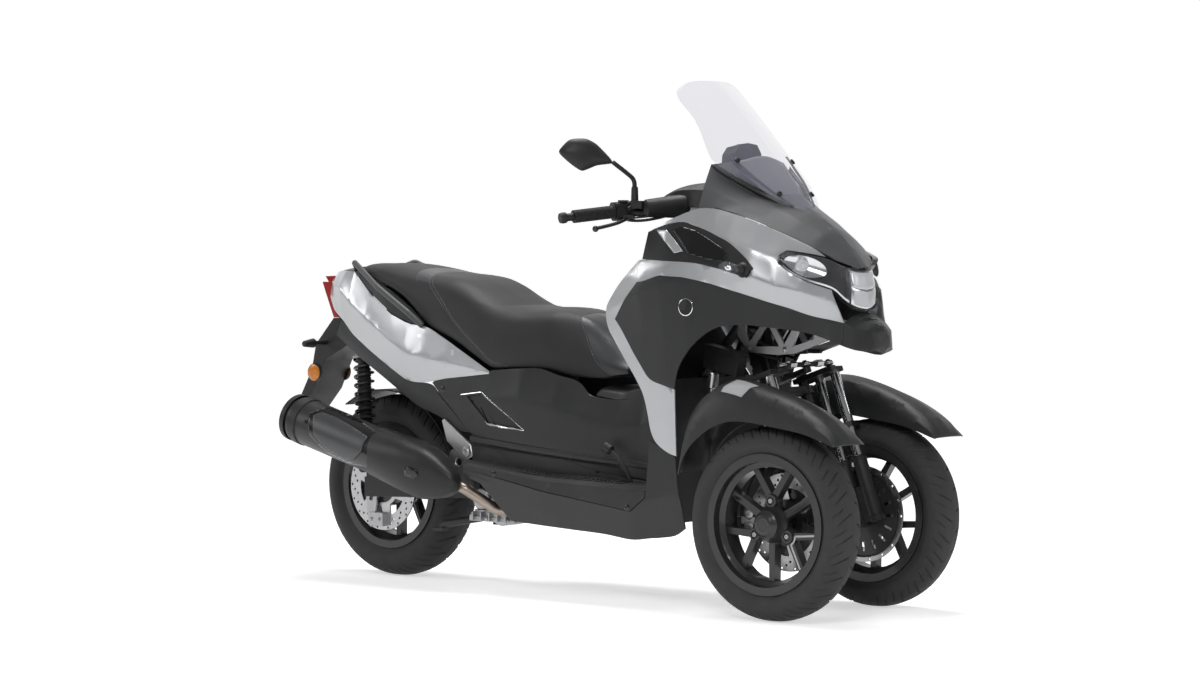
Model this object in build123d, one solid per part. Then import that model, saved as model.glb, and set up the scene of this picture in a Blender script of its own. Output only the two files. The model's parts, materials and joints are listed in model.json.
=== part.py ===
from build123d import *
import math
import os

# A leaning three-wheel scooter that stands on its own wheels.
# Millimetres. X runs forward, Y to the left, Z up. The origin is on the ground under the middle.

# Whole vehicle
WHEELBASE = 1595.0
FRONT_AXLE_X = 863.0
FRONT_TRACK = 470.0
REAR_AXLE_X = FRONT_AXLE_X - WHEELBASE
WHEEL_Y = FRONT_TRACK / 2
CASTER = 20.0
TRAIL = 68.0
PANEL = 4.0          # thickness of a moulded panel
SEAM = 0.6           # gap between neighbouring panels
SEAT_GAP = 0.3       # gap under a piece that rests on another
FAR = 400.0          # well outside the body, for cutting tools
half_seam = -SEAM / 2

# Tyres, rims and discs
BEAD_R = 178.0              # seat of a 14-inch rim
FRONT_SIDEWALL = 84.0
REAR_SIDEWALL = 98.0
FRONT_TYRE_R = BEAD_R + FRONT_SIDEWALL
FRONT_TYRE_W = 120.0
REAR_TYRE_R = BEAD_R + REAR_SIDEWALL
REAR_TYRE_W = 140.0
FLANGE_R = BEAD_R + 12.0
FLANGE_T = 6.0
FRONT_RIM_W = 104.0
REAR_RIM_W = 120.0
SPOKE_T = 28.0
HUB_R = 36.0
BOLT_CIRCLE_R = 62.0        # three bolt bosses round the hub
BOSS_R = 17.0
PAIR_HALF_ANGLE = 21.0      # each boss carries a pair of spokes, spread by this at the rim
AXLE_R = 9.0
AXLE_CLEARANCE = 0.05
DISC_R = 133.5
DISC_T = 4.5
DISC_INNER_R = 50.0

# Front fork, a pair of tandem legs inboard of each front wheel.
# Heights along the steering axis are measured from the wheel centre's height.
KINGPIN_Y = 108.0
KINGPIN_R = 15.0
LEG_Y = 149.0
LEG_R = 20.0
TUBE_R = 14.0
LEG_LEADS = (60.0, 2.0)    # each leg's distance ahead of the axle
CASTING_TOP = 140.0
YOKE_LOW = 226.0
YOKE_T = 14.0
POST_LENGTH = 145.0
DISC_Y = 174.0
CALIPER_OUT = 22.0
CALIPER_IN = 22.0
RUNNING_GAP = DISC_T / 2 + 5.0    # from a disc's plane to the caliper beside it
STEER_ARM = 100.0          # track rod pins ahead of the kingpins
PIN_R = 6.0
PIN_CLEARANCE = 0.4
STEM_R = 14.0
STEM_CLEARANCE = 0.05

lean = math.radians(CASTER)
AXIS_DIR = Vector(-math.sin(lean), 0, math.cos(lean))
AHEAD_DIR = Vector(math.cos(lean), 0, math.sin(lean))
POST_LOW = YOKE_LOW + YOKE_T + SEAT_GAP
POST_HIGH = POST_LOW + POST_LENGTH
YOKE_HIGH = POST_HIGH + SEAT_GAP


def axis_x(z):
    """X of the steering axis at height z."""
    return FRONT_AXLE_X + TRAIL - z * math.tan(lean)


def steer_frame(y):
    """Plane square to the steering axis, through it at wheel height; its x is ahead, its y to the left."""
    origin = Vector(axis_x(FRONT_TYRE_R), y, FRONT_TYRE_R)
    return Plane(origin=origin, x_dir=AHEAD_DIR, z_dir=AXIS_DIR)


def bar(start, end, radius, tip_radius=None):
    """Round bar from start to end, tapered where a tip radius is given."""
    a, b = Vector(*start), Vector(*end)
    length = (b - a).length
    if tip_radius is None:
        shape = extrude(Circle(radius), length)
    else:
        shape = loft([Circle(radius).face(), (Pos(0, 0, length) * Circle(tip_radius)).face()])
    return Plane(origin=a, z_dir=(b - a).normalized()) * shape


def tube(points, radius, bend=40.0):
    """Bent tube through the points, with equal bends."""
    path = FilletPolyline(*points, radius=bend)
    start = Plane(origin=path @ 0, z_dir=path % 0)
    return sweep(start * Circle(radius), path=path)


def block(x0, x1, y0, y1, z0, z1):
    """Box between two corners."""
    return Pos((x0 + x1) / 2, (y0 + y1) / 2, (z0 + z1) / 2) * Box(x1 - x0, y1 - y0, z1 - z0)


def grown(outline, amount):
    """Outline of points with every side moved out by amount, or in where it is negative."""
    twice_area = sum(a[0] * b[1] - b[0] * a[1] for a, b in zip(outline, outline[1:] + outline[:1]))
    turn = 1 if twice_area > 0 else -1
    moved = []
    for before, here, after in zip(outline[-1:] + outline[:-1], outline, outline[1:] + outline[:1]):
        d1 = Vector(here[0] - before[0], here[1] - before[1]).normalized()
        d2 = Vector(after[0] - here[0], after[1] - here[1]).normalized()
        half = Vector(d1.Y + d2.Y, -d1.X - d2.X) * turn
        reach = amount * 2 / half.dot(half)
        moved.append((here[0] + half.X * reach, here[1] + half.Y * reach))
    return moved


def prism(outline, y0, y1, grow=0.0):
    """Side-view outline of (x, z) points, drawn out from y0 to y1."""
    place = Plane(origin=(0, max(y0, y1), 0), x_dir=(1, 0, 0), z_dir=(0, -1, 0))
    face = make_face(Polyline(*grown(outline, grow), close=True))
    return extrude(place * face, abs(y1 - y0))


def inward(line, distance):
    """Line of (|y|, z) points moved towards the body's middle by distance."""
    moved = []
    for i, (y, z) in enumerate(line):
        before = line[max(i - 1, 0)]
        after = line[min(i + 1, len(line) - 1)]
        dy, dz = after[0] - before[0], after[1] - before[1]
        length = math.hypot(dy, dz)
        moved.append((y + distance * dz / length, z - distance * dy / length))
    return moved


def section(x, points):
    """Closed face of (y, z) points at station x."""
    return make_face(Polyline(*[(x, y, z) for y, z in points], close=True))


def skin(table, thickness=PANEL, ruled=False):
    """Curved wall on the right side from rows of x and (|y|, z) points, top first."""
    faces = []
    for x, line in table:
        outer = [(-y, z) for y, z in line]
        inner = [(-y, z) for y, z in inward(line, thickness)]
        faces.append(section(x, outer + inner[::-1]))
    return loft(faces, ruled=ruled)


def arched(table, thickness=PANEL, ruled=False):
    """Curved wall across the middle from rows of x and (|y|, z) points, middle first."""
    faces = []
    for x, line in table:
        under = inward(line, thickness)
        under[0] = (0.0, line[0][1] - thickness)
        outer = [(-y, z) for y, z in line[::-1]] + [(y, z) for y, z in line[1:]]
        inner = [(y, z) for y, z in under[::-1]] + [(-y, z) for y, z in under[1:]]
        faces.append(section(x, outer + inner))
    return loft(faces, ruled=ruled)


def body(table, ruled=False):
    """Solid across the middle from rows of x and (|y|, z) points, from top middle to bottom middle."""
    faces = []
    for x, line in table:
        right = [(-y, z) for y, z in line]
        left = [(y, z) for y, z in line[1:-1]][::-1]
        faces.append(section(x, right + left))
    return loft(faces, ruled=ruled)


def both(shape):
    """The pieces on the right and their mirror images on the left."""
    return list(shape.solids()) + list(mirror(shape, Plane.XZ).solids())


def save(node, shapes):
    """Writes one sub-part, which may hold several solids."""
    if not isinstance(shapes, list):
        shapes = list(shapes.solids())
    shape = shapes[0] if len(shapes) == 1 else Compound(children=shapes)
    export_step(shape, f"parts/{node}.step")


os.makedirs("parts", exist_ok=True)


# Wheels: a ring of rubber, a cast rim with pairs of spokes, and a brake disc.
# Each is made about the wheel's centre; the outer side is -Y.
def tyre(radius, width, rim_width):
    half = width / 2
    depth = radius - BEAD_R
    seat_half = rim_width / 2 - FLANGE_T - 3.0 - SEAT_GAP
    # columns: distance from the middle, radius
    right = [
        (half * 0.36, radius - depth * 0.035),
        (half * 0.72, radius - depth * 0.16),
        (half * 0.96, radius - depth * 0.38),
        (half, radius - depth * 0.55),
        (seat_half + 3.0, FLANGE_R + 1.0),
        (seat_half, BEAD_R + SEAT_GAP),
    ]
    line = [(-w, r) for w, r in right[::-1]] + [(0.0, radius)] + right
    profile = make_face(Polyline(*[(0, w, r) for w, r in line], close=True))
    return revolve(profile, Axis.Y)


def spoke(root, tip, root_half, tip_half):
    """Flat spoke between two (x, z) points, with its half width at each end."""
    across = Vector(root[1] - tip[1], tip[0] - root[0]).normalized()
    corners = [
        (root[0] + across.X * root_half, root[1] + across.Y * root_half),
        (root[0] - across.X * root_half, root[1] - across.Y * root_half),
        (tip[0] - across.X * tip_half, tip[1] - across.Y * tip_half),
        (tip[0] + across.X * tip_half, tip[1] + across.Y * tip_half),
    ]
    return prism(corners, -SPOKE_T / 2, SPOKE_T / 2)


def rim(rim_width, hub_in, hub_out, flange_in):
    half = rim_width / 2
    # columns: distance from the middle, outer radius, inner radius
    well = [
        (half, FLANGE_R, BEAD_R - 10.0),
        (half - FLANGE_T, FLANGE_R, BEAD_R - 10.0),
        (half - FLANGE_T - 3.0, BEAD_R, BEAD_R - 10.0),
        (half - 24.0, BEAD_R - 3.0, BEAD_R - 10.0),
        (20.0, BEAD_R - 19.0, BEAD_R - 25.0),
    ]
    outer = [(w, r) for w, r, _ in well] + [(-w, r) for w, r, _ in well[::-1]]
    inner = [(-w, r) for w, _, r in well if w != half - FLANGE_T and w != half - FLANGE_T - 3.0]
    inner = inner + [(-w, r) for w, r in inner[::-1]]
    ring = revolve(make_face(Polyline(*[(0, w, r) for w, r in outer + inner], close=True)), Axis.Y)
    wheel = ring + Plane.XZ.offset(-hub_in) * extrude(Circle(HUB_R), hub_in + hub_out)
    wheel += Plane.XZ.offset(-flange_in) * extrude(Circle(DISC_INNER_R + 12.0), flange_in - hub_in + 1.0)
    rim_reach = BEAD_R - 21.0
    for lobe in range(3):
        boss_angle = math.radians(90.0 + 120.0 * lobe)
        single_angle = boss_angle + math.radians(60.0)
        boss = (math.cos(boss_angle) * BOLT_CIRCLE_R, math.sin(boss_angle) * BOLT_CIRCLE_R)
        wheel += bar((boss[0], -SPOKE_T / 2, boss[1]), (boss[0], SPOKE_T / 2, boss[1]), BOSS_R)
        wheel += spoke((0.0, 0.0), boss, 15.0, 15.0)
        single = (math.cos(single_angle) * rim_reach, math.sin(single_angle) * rim_reach)
        wheel += spoke((0.0, 0.0), single, 11.0, 9.0)
        for side in (-1, 1):
            angle = boss_angle + side * math.radians(PAIR_HALF_ANGLE)
            tip = (math.cos(angle) * rim_reach, math.sin(angle) * rim_reach)
            wheel += spoke(boss, tip, 10.0, 8.5)
    bore = Plane.XZ.offset(-400) * extrude(Circle(AXLE_R + AXLE_CLEARANCE), 800)
    return wheel - bore


def disc():
    ring = Circle(DISC_R) - Circle(DISC_INNER_R)
    return Plane.XZ.offset(-DISC_T / 2) * extrude(ring, DISC_T)


front_disc_in = WHEEL_Y - DISC_Y
hub_half = 42.0
front_flange = front_disc_in - DISC_T / 2
rear_disc_y = 82.0
rear_hub_half = 50.0

front_tyre = tyre(FRONT_TYRE_R, FRONT_TYRE_W, FRONT_RIM_W)
front_rim = rim(FRONT_RIM_W, hub_half, hub_half, front_flange)
for side, name in ((-1, "right"), (1, "left")):
    centre = Pos(FRONT_AXLE_X, -WHEEL_Y, FRONT_TYRE_R)
    pieces = {
        "tyre": centre * front_tyre,
        "rim": centre * front_rim,
        "disc": centre * Pos(0, front_disc_in, 0) * disc(),
    }
    for piece, shape in pieces.items():
        save(f"{piece}_{name}", shape if side < 0 else mirror(shape, Plane.XZ))

# The rear wheel carries its disc on the right
rear_centre = Pos(REAR_AXLE_X, 0, REAR_TYRE_R)
rear_rim = mirror(rim(REAR_RIM_W, rear_hub_half, rear_hub_half, rear_disc_y - DISC_T / 2), Plane.XZ)
save("tyre_rear", rear_centre * tyre(REAR_TYRE_R, REAR_TYRE_W, REAR_RIM_W))
save("rim_rear", rear_centre * rear_rim)
save("disc_rear", rear_centre * Pos(0, -rear_disc_y, 0) * disc())


# Fork: two sliders joined at the axle, two plated tubes, two yokes above and below the kingpin post
def fork():
    frame = steer_frame(-KINGPIN_Y)
    legs = []
    leg_v = KINGPIN_Y - LEG_Y
    axle_ahead = FRONT_AXLE_X - axis_x(FRONT_TYRE_R)
    top = YOKE_HIGH + YOKE_T
    for lead in LEG_LEADS:
        ahead = (axle_ahead + lead) * math.cos(lean)
        legs.append(Pos(ahead, leg_v, -45) * extrude(Circle(LEG_R), CASTING_TOP + 45))
        legs.append(Pos(ahead, leg_v, 0) * extrude(Circle(TUBE_R), top))
    first = (axle_ahead + LEG_LEADS[0]) * math.cos(lean)
    last = (axle_ahead + LEG_LEADS[1]) * math.cos(lean)
    web = block(last, first, leg_v - 10, leg_v + 10, -40, 60)
    yoke_outline = [(-20, 20), (-20, leg_v - 19), (first + 19, leg_v - 19), (first + 19, leg_v + 15),
                    (STEER_ARM + 12, -12), (STEER_ARM + 12, 12), (STEER_ARM - 14, 14), (20, 20)]
    plate = extrude(make_face(Polyline(*yoke_outline, close=True)), YOKE_T)
    low_outline = yoke_outline[:4] + [(20, 20)]
    low_plate = extrude(make_face(Polyline(*low_outline, close=True)), YOKE_T)
    pin = Pos(STEER_ARM, 0, YOKE_HIGH + YOKE_T) * extrude(Circle(PIN_R), 20)
    shape = legs[0] + legs[1] + legs[2] + legs[3] + web + Pos(0, 0, YOKE_HIGH) * plate
    shape += Pos(0, 0, YOKE_LOW) * low_plate + pin
    shape = frame * shape
    axle_end = -(WHEEL_Y + hub_half + SEAT_GAP)
    shape += bar((FRONT_AXLE_X, -LEG_Y, FRONT_TYRE_R), (FRONT_AXLE_X, axle_end, FRONT_TYRE_R), AXLE_R)
    shape += bar((FRONT_AXLE_X, axle_end, FRONT_TYRE_R), (FRONT_AXLE_X, axle_end - 12, FRONT_TYRE_R), 16)
    # brake caliper behind the axle, on an arm from the casting
    x0, x1 = FRONT_AXLE_X - DISC_R - 14, FRONT_AXLE_X - 80
    outside, inside = -DISC_Y - CALIPER_OUT, -DISC_Y + CALIPER_IN
    caliper = block(x0, x1, outside, inside, FRONT_TYRE_R - 36, FRONT_TYRE_R + 36)
    slot_start = (FRONT_AXLE_X, -DISC_Y - RUNNING_GAP, FRONT_TYRE_R)
    slot_end = (FRONT_AXLE_X, -DISC_Y + RUNNING_GAP, FRONT_TYRE_R)
    caliper -= bar(slot_start, slot_end, DISC_R + 5)
    arm = block(x1 - 10, FRONT_AXLE_X - 10, -DISC_Y + 10, -LEG_Y, FRONT_TYRE_R - 14, FRONT_TYRE_R + 14)
    shape += caliper + arm
    for lead in LEG_LEADS:
        x = FRONT_AXLE_X + lead - (STAY_Z - FRONT_TYRE_R) * math.tan(lean)
        shape += bar((x, -LEG_Y, STAY_Z), (x, -(WHEEL_Y - FENDER_HALF) + SEAT_GAP, STAY_Z), 8)
    return shape


# Fenders: a hood over each front wheel, carried by two short stays on its fork
STAY_Z = 541.0
# columns: angle round the wheel from straight ahead, crown radius, edge radius
FENDER = [
    (156.0, 320.0, 300.0),
    (140.0, 366.0, 311.0),
    (124.0, 407.0, 304.0),
    (108.0, 402.0, 288.0),
    (92.0, 369.0, 270.0),
    (76.0, 349.0, 268.0),
    (60.0, 343.0, 286.0),
    (48.0, 342.0, 308.0),
    (42.0, 333.0, 325.0),
]
FENDER_HALF = 70.0
FENDER_T = 4.0


def fender():
    faces = []
    for angle, crown, edge in FENDER:
        a = math.radians(angle)
        depth = crown - edge
        place = Plane(origin=(FRONT_AXLE_X, -WHEEL_Y, FRONT_TYRE_R), x_dir=(0, 1, 0),
                      z_dir=(math.sin(a), 0, -math.cos(a)))
        # columns: distance from the wheel's plane, radius
        half = [
            (0.0, crown),
            (FENDER_HALF * 0.62, crown - depth * 0.14),
            (FENDER_HALF * 0.94, crown - depth * 0.5),
            (FENDER_HALF, edge),
        ]
        inner = [
            (0.0, crown - FENDER_T),
            (FENDER_HALF * 0.62 - 1, crown - depth * 0.14 - FENDER_T),
            (FENDER_HALF * 0.94 - FENDER_T, crown - depth * 0.5 - 2),
            (FENDER_HALF - FENDER_T, edge),
        ]
        line = [(-w, r) for w, r in half[::-1]] + half[1:] + inner[::-1] + [(-w, r) for w, r in inner[1:]]
        up = 1 if (place.y_dir.dot(Vector(math.cos(a), 0, math.sin(a))) > 0) else -1
        faces.append(place * make_face(Polyline(*[(w, up * r) for w, r in line], close=True)))
    return loft(faces)


fork_shape = fork()
save("fork_right", fork_shape)
save("fork_left", mirror(fork_shape, Plane.XZ))
hood = fender()
save("fender_right", hood)
save("fender_left", mirror(hood, Plane.XZ))


# Lean linkage, drawn upright and locked: kingpin posts, two transverse arms and the carrier behind them
frame_axis = steer_frame(0)
ARM_T = 20.0
ARM_HALF_W = 18.0
ARM_BOSS_R = 24.0
CARRIER_Y = 28.0
CARRIER_BACK = 60.0
linkage = None
for side in (-1, 1):
    post = Pos(0, side * KINGPIN_Y, POST_LOW) * extrude(Circle(KINGPIN_R), POST_LENGTH)
    linkage = post if linkage is None else linkage + post
for low in (POST_LOW + 15.0, POST_HIGH - 35.0):
    linkage += block(-ARM_HALF_W, ARM_HALF_W, -KINGPIN_Y, KINGPIN_Y, low, low + ARM_T)
    for side in (-1, 1):
        linkage += Pos(0, side * KINGPIN_Y, low) * extrude(Circle(ARM_BOSS_R), ARM_T)
carrier_outline = [
    (-ARM_HALF_W, POST_LOW), (-ARM_HALF_W, POST_HIGH - 34), (-27, POST_HIGH - 14), (-27, POST_HIGH + 90),
    (-CARRIER_BACK, POST_HIGH + 60), (-CARRIER_BACK, POST_LOW),
]
side_origin = (axis_x(FRONT_TYRE_R), CARRIER_Y, FRONT_TYRE_R)
side_plane = Plane(origin=side_origin, x_dir=AHEAD_DIR, z_dir=(0, -1, 0))
carrier = side_plane * extrude(make_face(Polyline(*carrier_outline, close=True)), 2 * CARRIER_Y)
linkage = frame_axis * linkage + carrier
save("lean_linkage", linkage)

# Head tube, with the main frame behind it
HEAD_LOW_Z = 800.0
HEAD_HIGH_Z = 960.0
head_low = (HEAD_LOW_Z - FRONT_TYRE_R) / math.cos(lean)
head_high = (HEAD_HIGH_Z - FRONT_TYRE_R) / math.cos(lean)
FRAME_R = 14.0
head = frame_axis * (Pos(0, 0, head_low) * extrude(Circle(24), head_high - head_low))
chassis = head
for side in (-1, 1):
    chassis += tube([(axis_x(830) - 8, side * 12, 835), (480, side * 62, 640), (440, side * 80, 300),
                     (330, side * 95, 262), (40, side * 105, 262), (-110, side * 165, 300),
                     (-210, side * 168, 440), (-330, side * 158, 570), (-560, side * 140, 655),
                     (-830, side * 118, 785)], FRAME_R, 40)
for x, half, z in ((300, 90, 262), (90, 95, 262), (-240, 160, 469.7), (-560, 140, 655), (-800, 115, 770)):
    chassis += bar((x, -half, z), (x, half, z), 10)
chassis += frame_axis * block(-70, -20, -8, 8, POST_HIGH + 30, head_low + 30)
stem_bore = Pos(0, 0, head_low - 60) * extrude(Circle(STEM_R + STEM_CLEARANCE), head_high - head_low + 120)
chassis -= frame_axis * stem_bore
chassis -= linkage
save("frame", chassis)

# Light alloy truss that carries the nose, above the sweep of the yokes and track rod
TRUSS_Y = 52.0
TRUSS_T = 8.0
TRUSS = [
    (606, 816), (720, 816), (905, 800), (935, 775), (905, 748),
    (800, 712), (740, 706), (640, 712), (600, 760),
]
TRUSS_HOLES = [
    [(628, 792), (690, 796), (640, 738)],
    [(704, 792), (745, 730), (660, 728)],
    [(722, 796), (800, 794), (762, 736)],
    [(818, 790), (862, 784), (862, 752), (790, 730)],
]
plate = prism(TRUSS, -TRUSS_Y - TRUSS_T, -TRUSS_Y)
for hole in TRUSS_HOLES:
    plate -= prism(hole, -FAR, 0)
truss = plate + mirror(plate, Plane.XZ) + block(606, 700, -TRUSS_Y, TRUSS_Y, 804, 814)
for x, z in ((905, 775), (765, 722), (620, 770)):
    truss += bar((x, -TRUSS_Y, z), (x, TRUSS_Y, z), 8)
stem_passage = Pos(0, 0, head_low - 60) * extrude(Circle(STEM_R + 6), head_high - head_low + 120)
truss -= frame_axis * stem_passage
save("front_truss", truss - chassis - linkage)

# Steering stem with its drop arm, handlebar, grips and controls
BAR_Z = 1086.0
stem_low = POST_HIGH + SEAT_GAP
stem_high = (BAR_Z - FRONT_TYRE_R) / math.cos(lean)
stem = Pos(0, 0, stem_low) * extrude(Circle(STEM_R), stem_high - stem_low)
stem += Pos(0, 0, stem_low) * extrude(Circle(20), YOKE_T)
stem += block(0, STEER_ARM, -10, 10, stem_low, stem_low + YOKE_T)
stem += Pos(STEER_ARM, 0, stem_low) * extrude(Circle(12), YOKE_T)
stem += Pos(STEER_ARM, 0, stem_low) * extrude(Circle(PIN_R), YOKE_T + 20)
stem = frame_axis * stem
BAR_R = 11.0
bar_x = axis_x(BAR_Z)
grip_in = (319.0, 250.0, 1100.0)
grip_out = (256.0, 386.0, 1083.0)
left_half = [(bar_x, 50, BAR_Z), (bar_x - 90, 110, BAR_Z + 6), grip_in, grip_out]
right_half = [(x, -y, z) for x, y, z in left_half[::-1]]
bars = tube(right_half + left_half, BAR_R, 25)
GRIP_R = 17.0
along = (Vector(*grip_out) - Vector(*grip_in)).normalized()
start = Vector(*grip_in) + along * 6
grip_plane = Plane(origin=start, z_dir=along)
grip = grip_plane * (extrude(Circle(GRIP_R), 122) - extrude(Circle(BAR_R), 122))
weight_plane = Plane(origin=Vector(*grip_out), z_dir=along)
weight = weight_plane * extrude(Circle(14), 18)
handlebar = stem + bars + weight + mirror(weight, Plane.XZ)
save("handlebar", handlebar)
save("grips", both(mirror(grip, Plane.XZ)))
COVER = [
    (372, [(0, 1152), (60, 1150), (104, 1140), (112, 1112), (0, 1092)]),
    (410, [(0, 1176), (60, 1172), (112, 1156), (122, 1114), (0, 1092)]),
    (470, [(0, 1184), (52, 1180), (98, 1162), (108, 1112), (0, 1092)]),
    (530, [(0, 1176), (36, 1172), (64, 1156), (72, 1110), (0, 1092)]),
    (556, [(0, 1158), (18, 1156), (34, 1146), (38, 1118), (0, 1100)]),
]
save("handlebar_cover", body(COVER, ruled=True) - handlebar)
switch_plane = Plane(origin=Vector(*grip_in) - along * 40, z_dir=along)
switch = switch_plane * extrude(RectangleRounded(46, 52, 12), 44) - bars
save("switchgear", both(mirror(switch, Plane.XZ)))

# Levers: a blade ahead of each grip
lever_root = Vector(*grip_in) - along * 18 + Vector(38, 0, 0)
lever_tip = Vector(*grip_out) + Vector(45, -6, -4)
lever = bar(tuple(lever_root), tuple(lever_tip), 6.5)
lever += Pos(*tuple(lever_tip)) * Sphere(8)
lever += bar(tuple(lever_root), tuple(lever_root - Vector(13, 0, 0)), 7)
save("levers", both(mirror(lever - switch - bars, Plane.XZ)))

# Mirrors on stems that rise from the handlebar
mirror_base = (368.0, 196.0, 1100.0)
mirror_top = (352.0, 268.0, 1228.0)
stalk = tube([mirror_base, (366, 225, 1180), mirror_top, (325, 343, 1254)], 6.5, 12)
shell_plane = Plane(origin=(318, 338, 1252), x_dir=Vector(-0.62, 0.78, 0.02), z_dir=Vector(0.75, 0.62, 0.1))
shell = shell_plane * loft([Ellipse(76, 42).face(), (Pos(0, 0, 26) * Ellipse(58, 28)).face()])
save("mirrors", both(mirror(stalk + shell - bars, Plane.XZ)))

# Track rod: three eyes on the steering pins
ROD_LOW = YOKE_HIGH + YOKE_T + 3.0
ROD_T = 12.0
rod = block(STEER_ARM - 6, STEER_ARM + 6, -KINGPIN_Y, KINGPIN_Y, ROD_LOW, ROD_LOW + ROD_T)
for y in (-KINGPIN_Y, 0, KINGPIN_Y):
    rod += Pos(STEER_ARM, y, ROD_LOW) * extrude(Circle(13), ROD_T)
for y in (-KINGPIN_Y, 0, KINGPIN_Y):
    rod -= Pos(STEER_ARM, y, ROD_LOW - 1) * extrude(Circle(PIN_R + PIN_CLEARANCE), ROD_T + 2)
save("track_rod", frame_axis * rod)

# Engine, drive case and rear swing arm
ENGINE_X = -130.0           # joint between the crankcase and the cylinder
ENGINE_BACK = 170.0
ENGINE_AHEAD = 160.0
ARM_BACK_X = ENGINE_X - ENGINE_BACK - 5.0
engine = block(ENGINE_X - ENGINE_BACK, ENGINE_X, -80, 72, 285, 455)
engine += block(ENGINE_X, ENGINE_X + ENGINE_AHEAD, -66, 66, 300, 410)
STAND_X = ENGINE_X - 75.0
STAND_Z = 222.0
for y in (-66, 66):
    engine += block(STAND_X - 25, STAND_X + 25, y - 6, y + 6, STAND_Z - 18, 286)
engine -= bar((STAND_X, -100, STAND_Z), (STAND_X, 100, STAND_Z), 10 + AXLE_CLEARANCE)
save("engine_block", engine)
case_outline = [
    (REAR_AXLE_X - 68, REAR_TYRE_R - 30),
    (REAR_AXLE_X - 68, REAR_TYRE_R + 24),
    (REAR_AXLE_X + 17, REAR_TYRE_R + 38),
    (REAR_AXLE_X + 132, REAR_TYRE_R + 100),
    (ENGINE_X - 290, 420),
    (ENGINE_X - 170, 440),
    (ENGINE_X - 110, 400),
    (ENGINE_X - 110, 258),
    (ENGINE_X - 170, 236),
    (REAR_AXLE_X + 32, REAR_TYRE_R - 42),
]
case = prism(case_outline, 84, 150)
case += bar((REAR_AXLE_X, rear_hub_half + SEAT_GAP, REAR_TYRE_R), (REAR_AXLE_X, 84, REAR_TYRE_R), 30)
case += block(ENGINE_X - ENGINE_BACK, ENGINE_X - 110, 72, 84, 290, 400)
case += block(REAR_AXLE_X - 30, REAR_AXLE_X - 2, 106, 124, REAR_TYRE_R + 20, REAR_TYRE_R + 72)
save("drive_case", case)
arm_outline = [
    (REAR_AXLE_X - 38, REAR_TYRE_R - 31),
    (REAR_AXLE_X - 38, REAR_TYRE_R + 29),
    (REAR_AXLE_X + 32, REAR_TYRE_R + 36),
    (ARM_BACK_X - 25, 330),
    (ARM_BACK_X + 5, 330),
    (ARM_BACK_X + 5, 262),
    (ARM_BACK_X - 25, 262),
]
arm = prism(arm_outline, -124, -102) + block(ARM_BACK_X - 25, ARM_BACK_X, -102, 84, 300, 330)
arm += block(REAR_AXLE_X - 30, REAR_AXLE_X - 2, -124, -106, REAR_TYRE_R + 20, REAR_TYRE_R + 72)
arm += bar((REAR_AXLE_X, rear_hub_half, REAR_TYRE_R), (REAR_AXLE_X, -124, REAR_TYRE_R), AXLE_R)
caliper = block(REAR_AXLE_X + 62, REAR_AXLE_X + 128, -104, -66, REAR_TYRE_R + 32, REAR_TYRE_R + 98)
slot_start = (REAR_AXLE_X, -rear_disc_y - RUNNING_GAP, REAR_TYRE_R)
slot_end = (REAR_AXLE_X, -rear_disc_y + RUNNING_GAP, REAR_TYRE_R)
caliper -= bar(slot_start, slot_end, DISC_R + 5)
arm += caliper
save("swing_arm", arm)
HUGGER_R = REAR_TYRE_R + 14.0
HUGGER_T = 4.0
arc_points = []
for r in (HUGGER_R, HUGGER_R + HUGGER_T):
    row = [(REAR_AXLE_X + r * math.cos(math.radians(a)), REAR_TYRE_R + r * math.sin(math.radians(a)))
           for a in range(16, 125, 9)]
    arc_points += row if r == HUGGER_R else row[::-1]
save("hugger", prism(arc_points, -78, 84 - SEAT_GAP))
SHOCK_R = 18.0
SHOCK_TOP_Z = 740.0
eye_x, eye_z = REAR_AXLE_X - 16, REAR_TYRE_R + 59
top_x = REAR_AXLE_X - 68
shock_low = (eye_x - 2.6, -135.1, eye_z + 20)
shock = bar(shock_low, (top_x, -98, SHOCK_TOP_Z), SHOCK_R) + bar((eye_x, -137, eye_z), shock_low, 8)
shock += bar((eye_x, -124 - SEAT_GAP, eye_z), (eye_x, -148, eye_z), 13)
shock += bar((top_x, -98, SHOCK_TOP_Z - 5), (top_x, -98, 760 - SEAT_GAP), 8)
save("rear_shocks", both(shock))


# Exhaust on the right: header pipe, canister, shield and end cap
MUFFLER_Y = -232.0
muffler_rear = (-950.0, MUFFLER_Y, 484.0)
muffler_front = (-545.0, MUFFLER_Y, 376.0)
MUFFLER_R = 70.0
muffler_dir = (Vector(*muffler_front) - Vector(*muffler_rear)).normalized()
canister_plane = Plane(origin=Vector(*muffler_rear), z_dir=muffler_dir)
canister_length = (Vector(*muffler_front) - Vector(*muffler_rear)).length
MUFFLER_WALL = 3.0
END_TAPER = 26.0
CONE_LENGTH = 190.0
CONE_TIP_R = 26.0
TAILPIPE_R = 30.0


def can(radius, end_radius, tip_radius, start):
    """Canister of that radius with a tapered end and a long cone, from start along the muffler."""
    shoulder = (Pos(0, 0, END_TAPER - start) * Circle(radius)).face()
    shape = Pos(0, 0, start) * loft([Circle(end_radius).face(), shoulder])
    shape += Pos(0, 0, END_TAPER) * extrude(Circle(radius), canister_length - END_TAPER)
    cone = loft([Circle(radius).face(), (Pos(0, 0, CONE_LENGTH) * Circle(tip_radius)).face()])
    return shape + Pos(0, 0, canister_length) * cone


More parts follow.
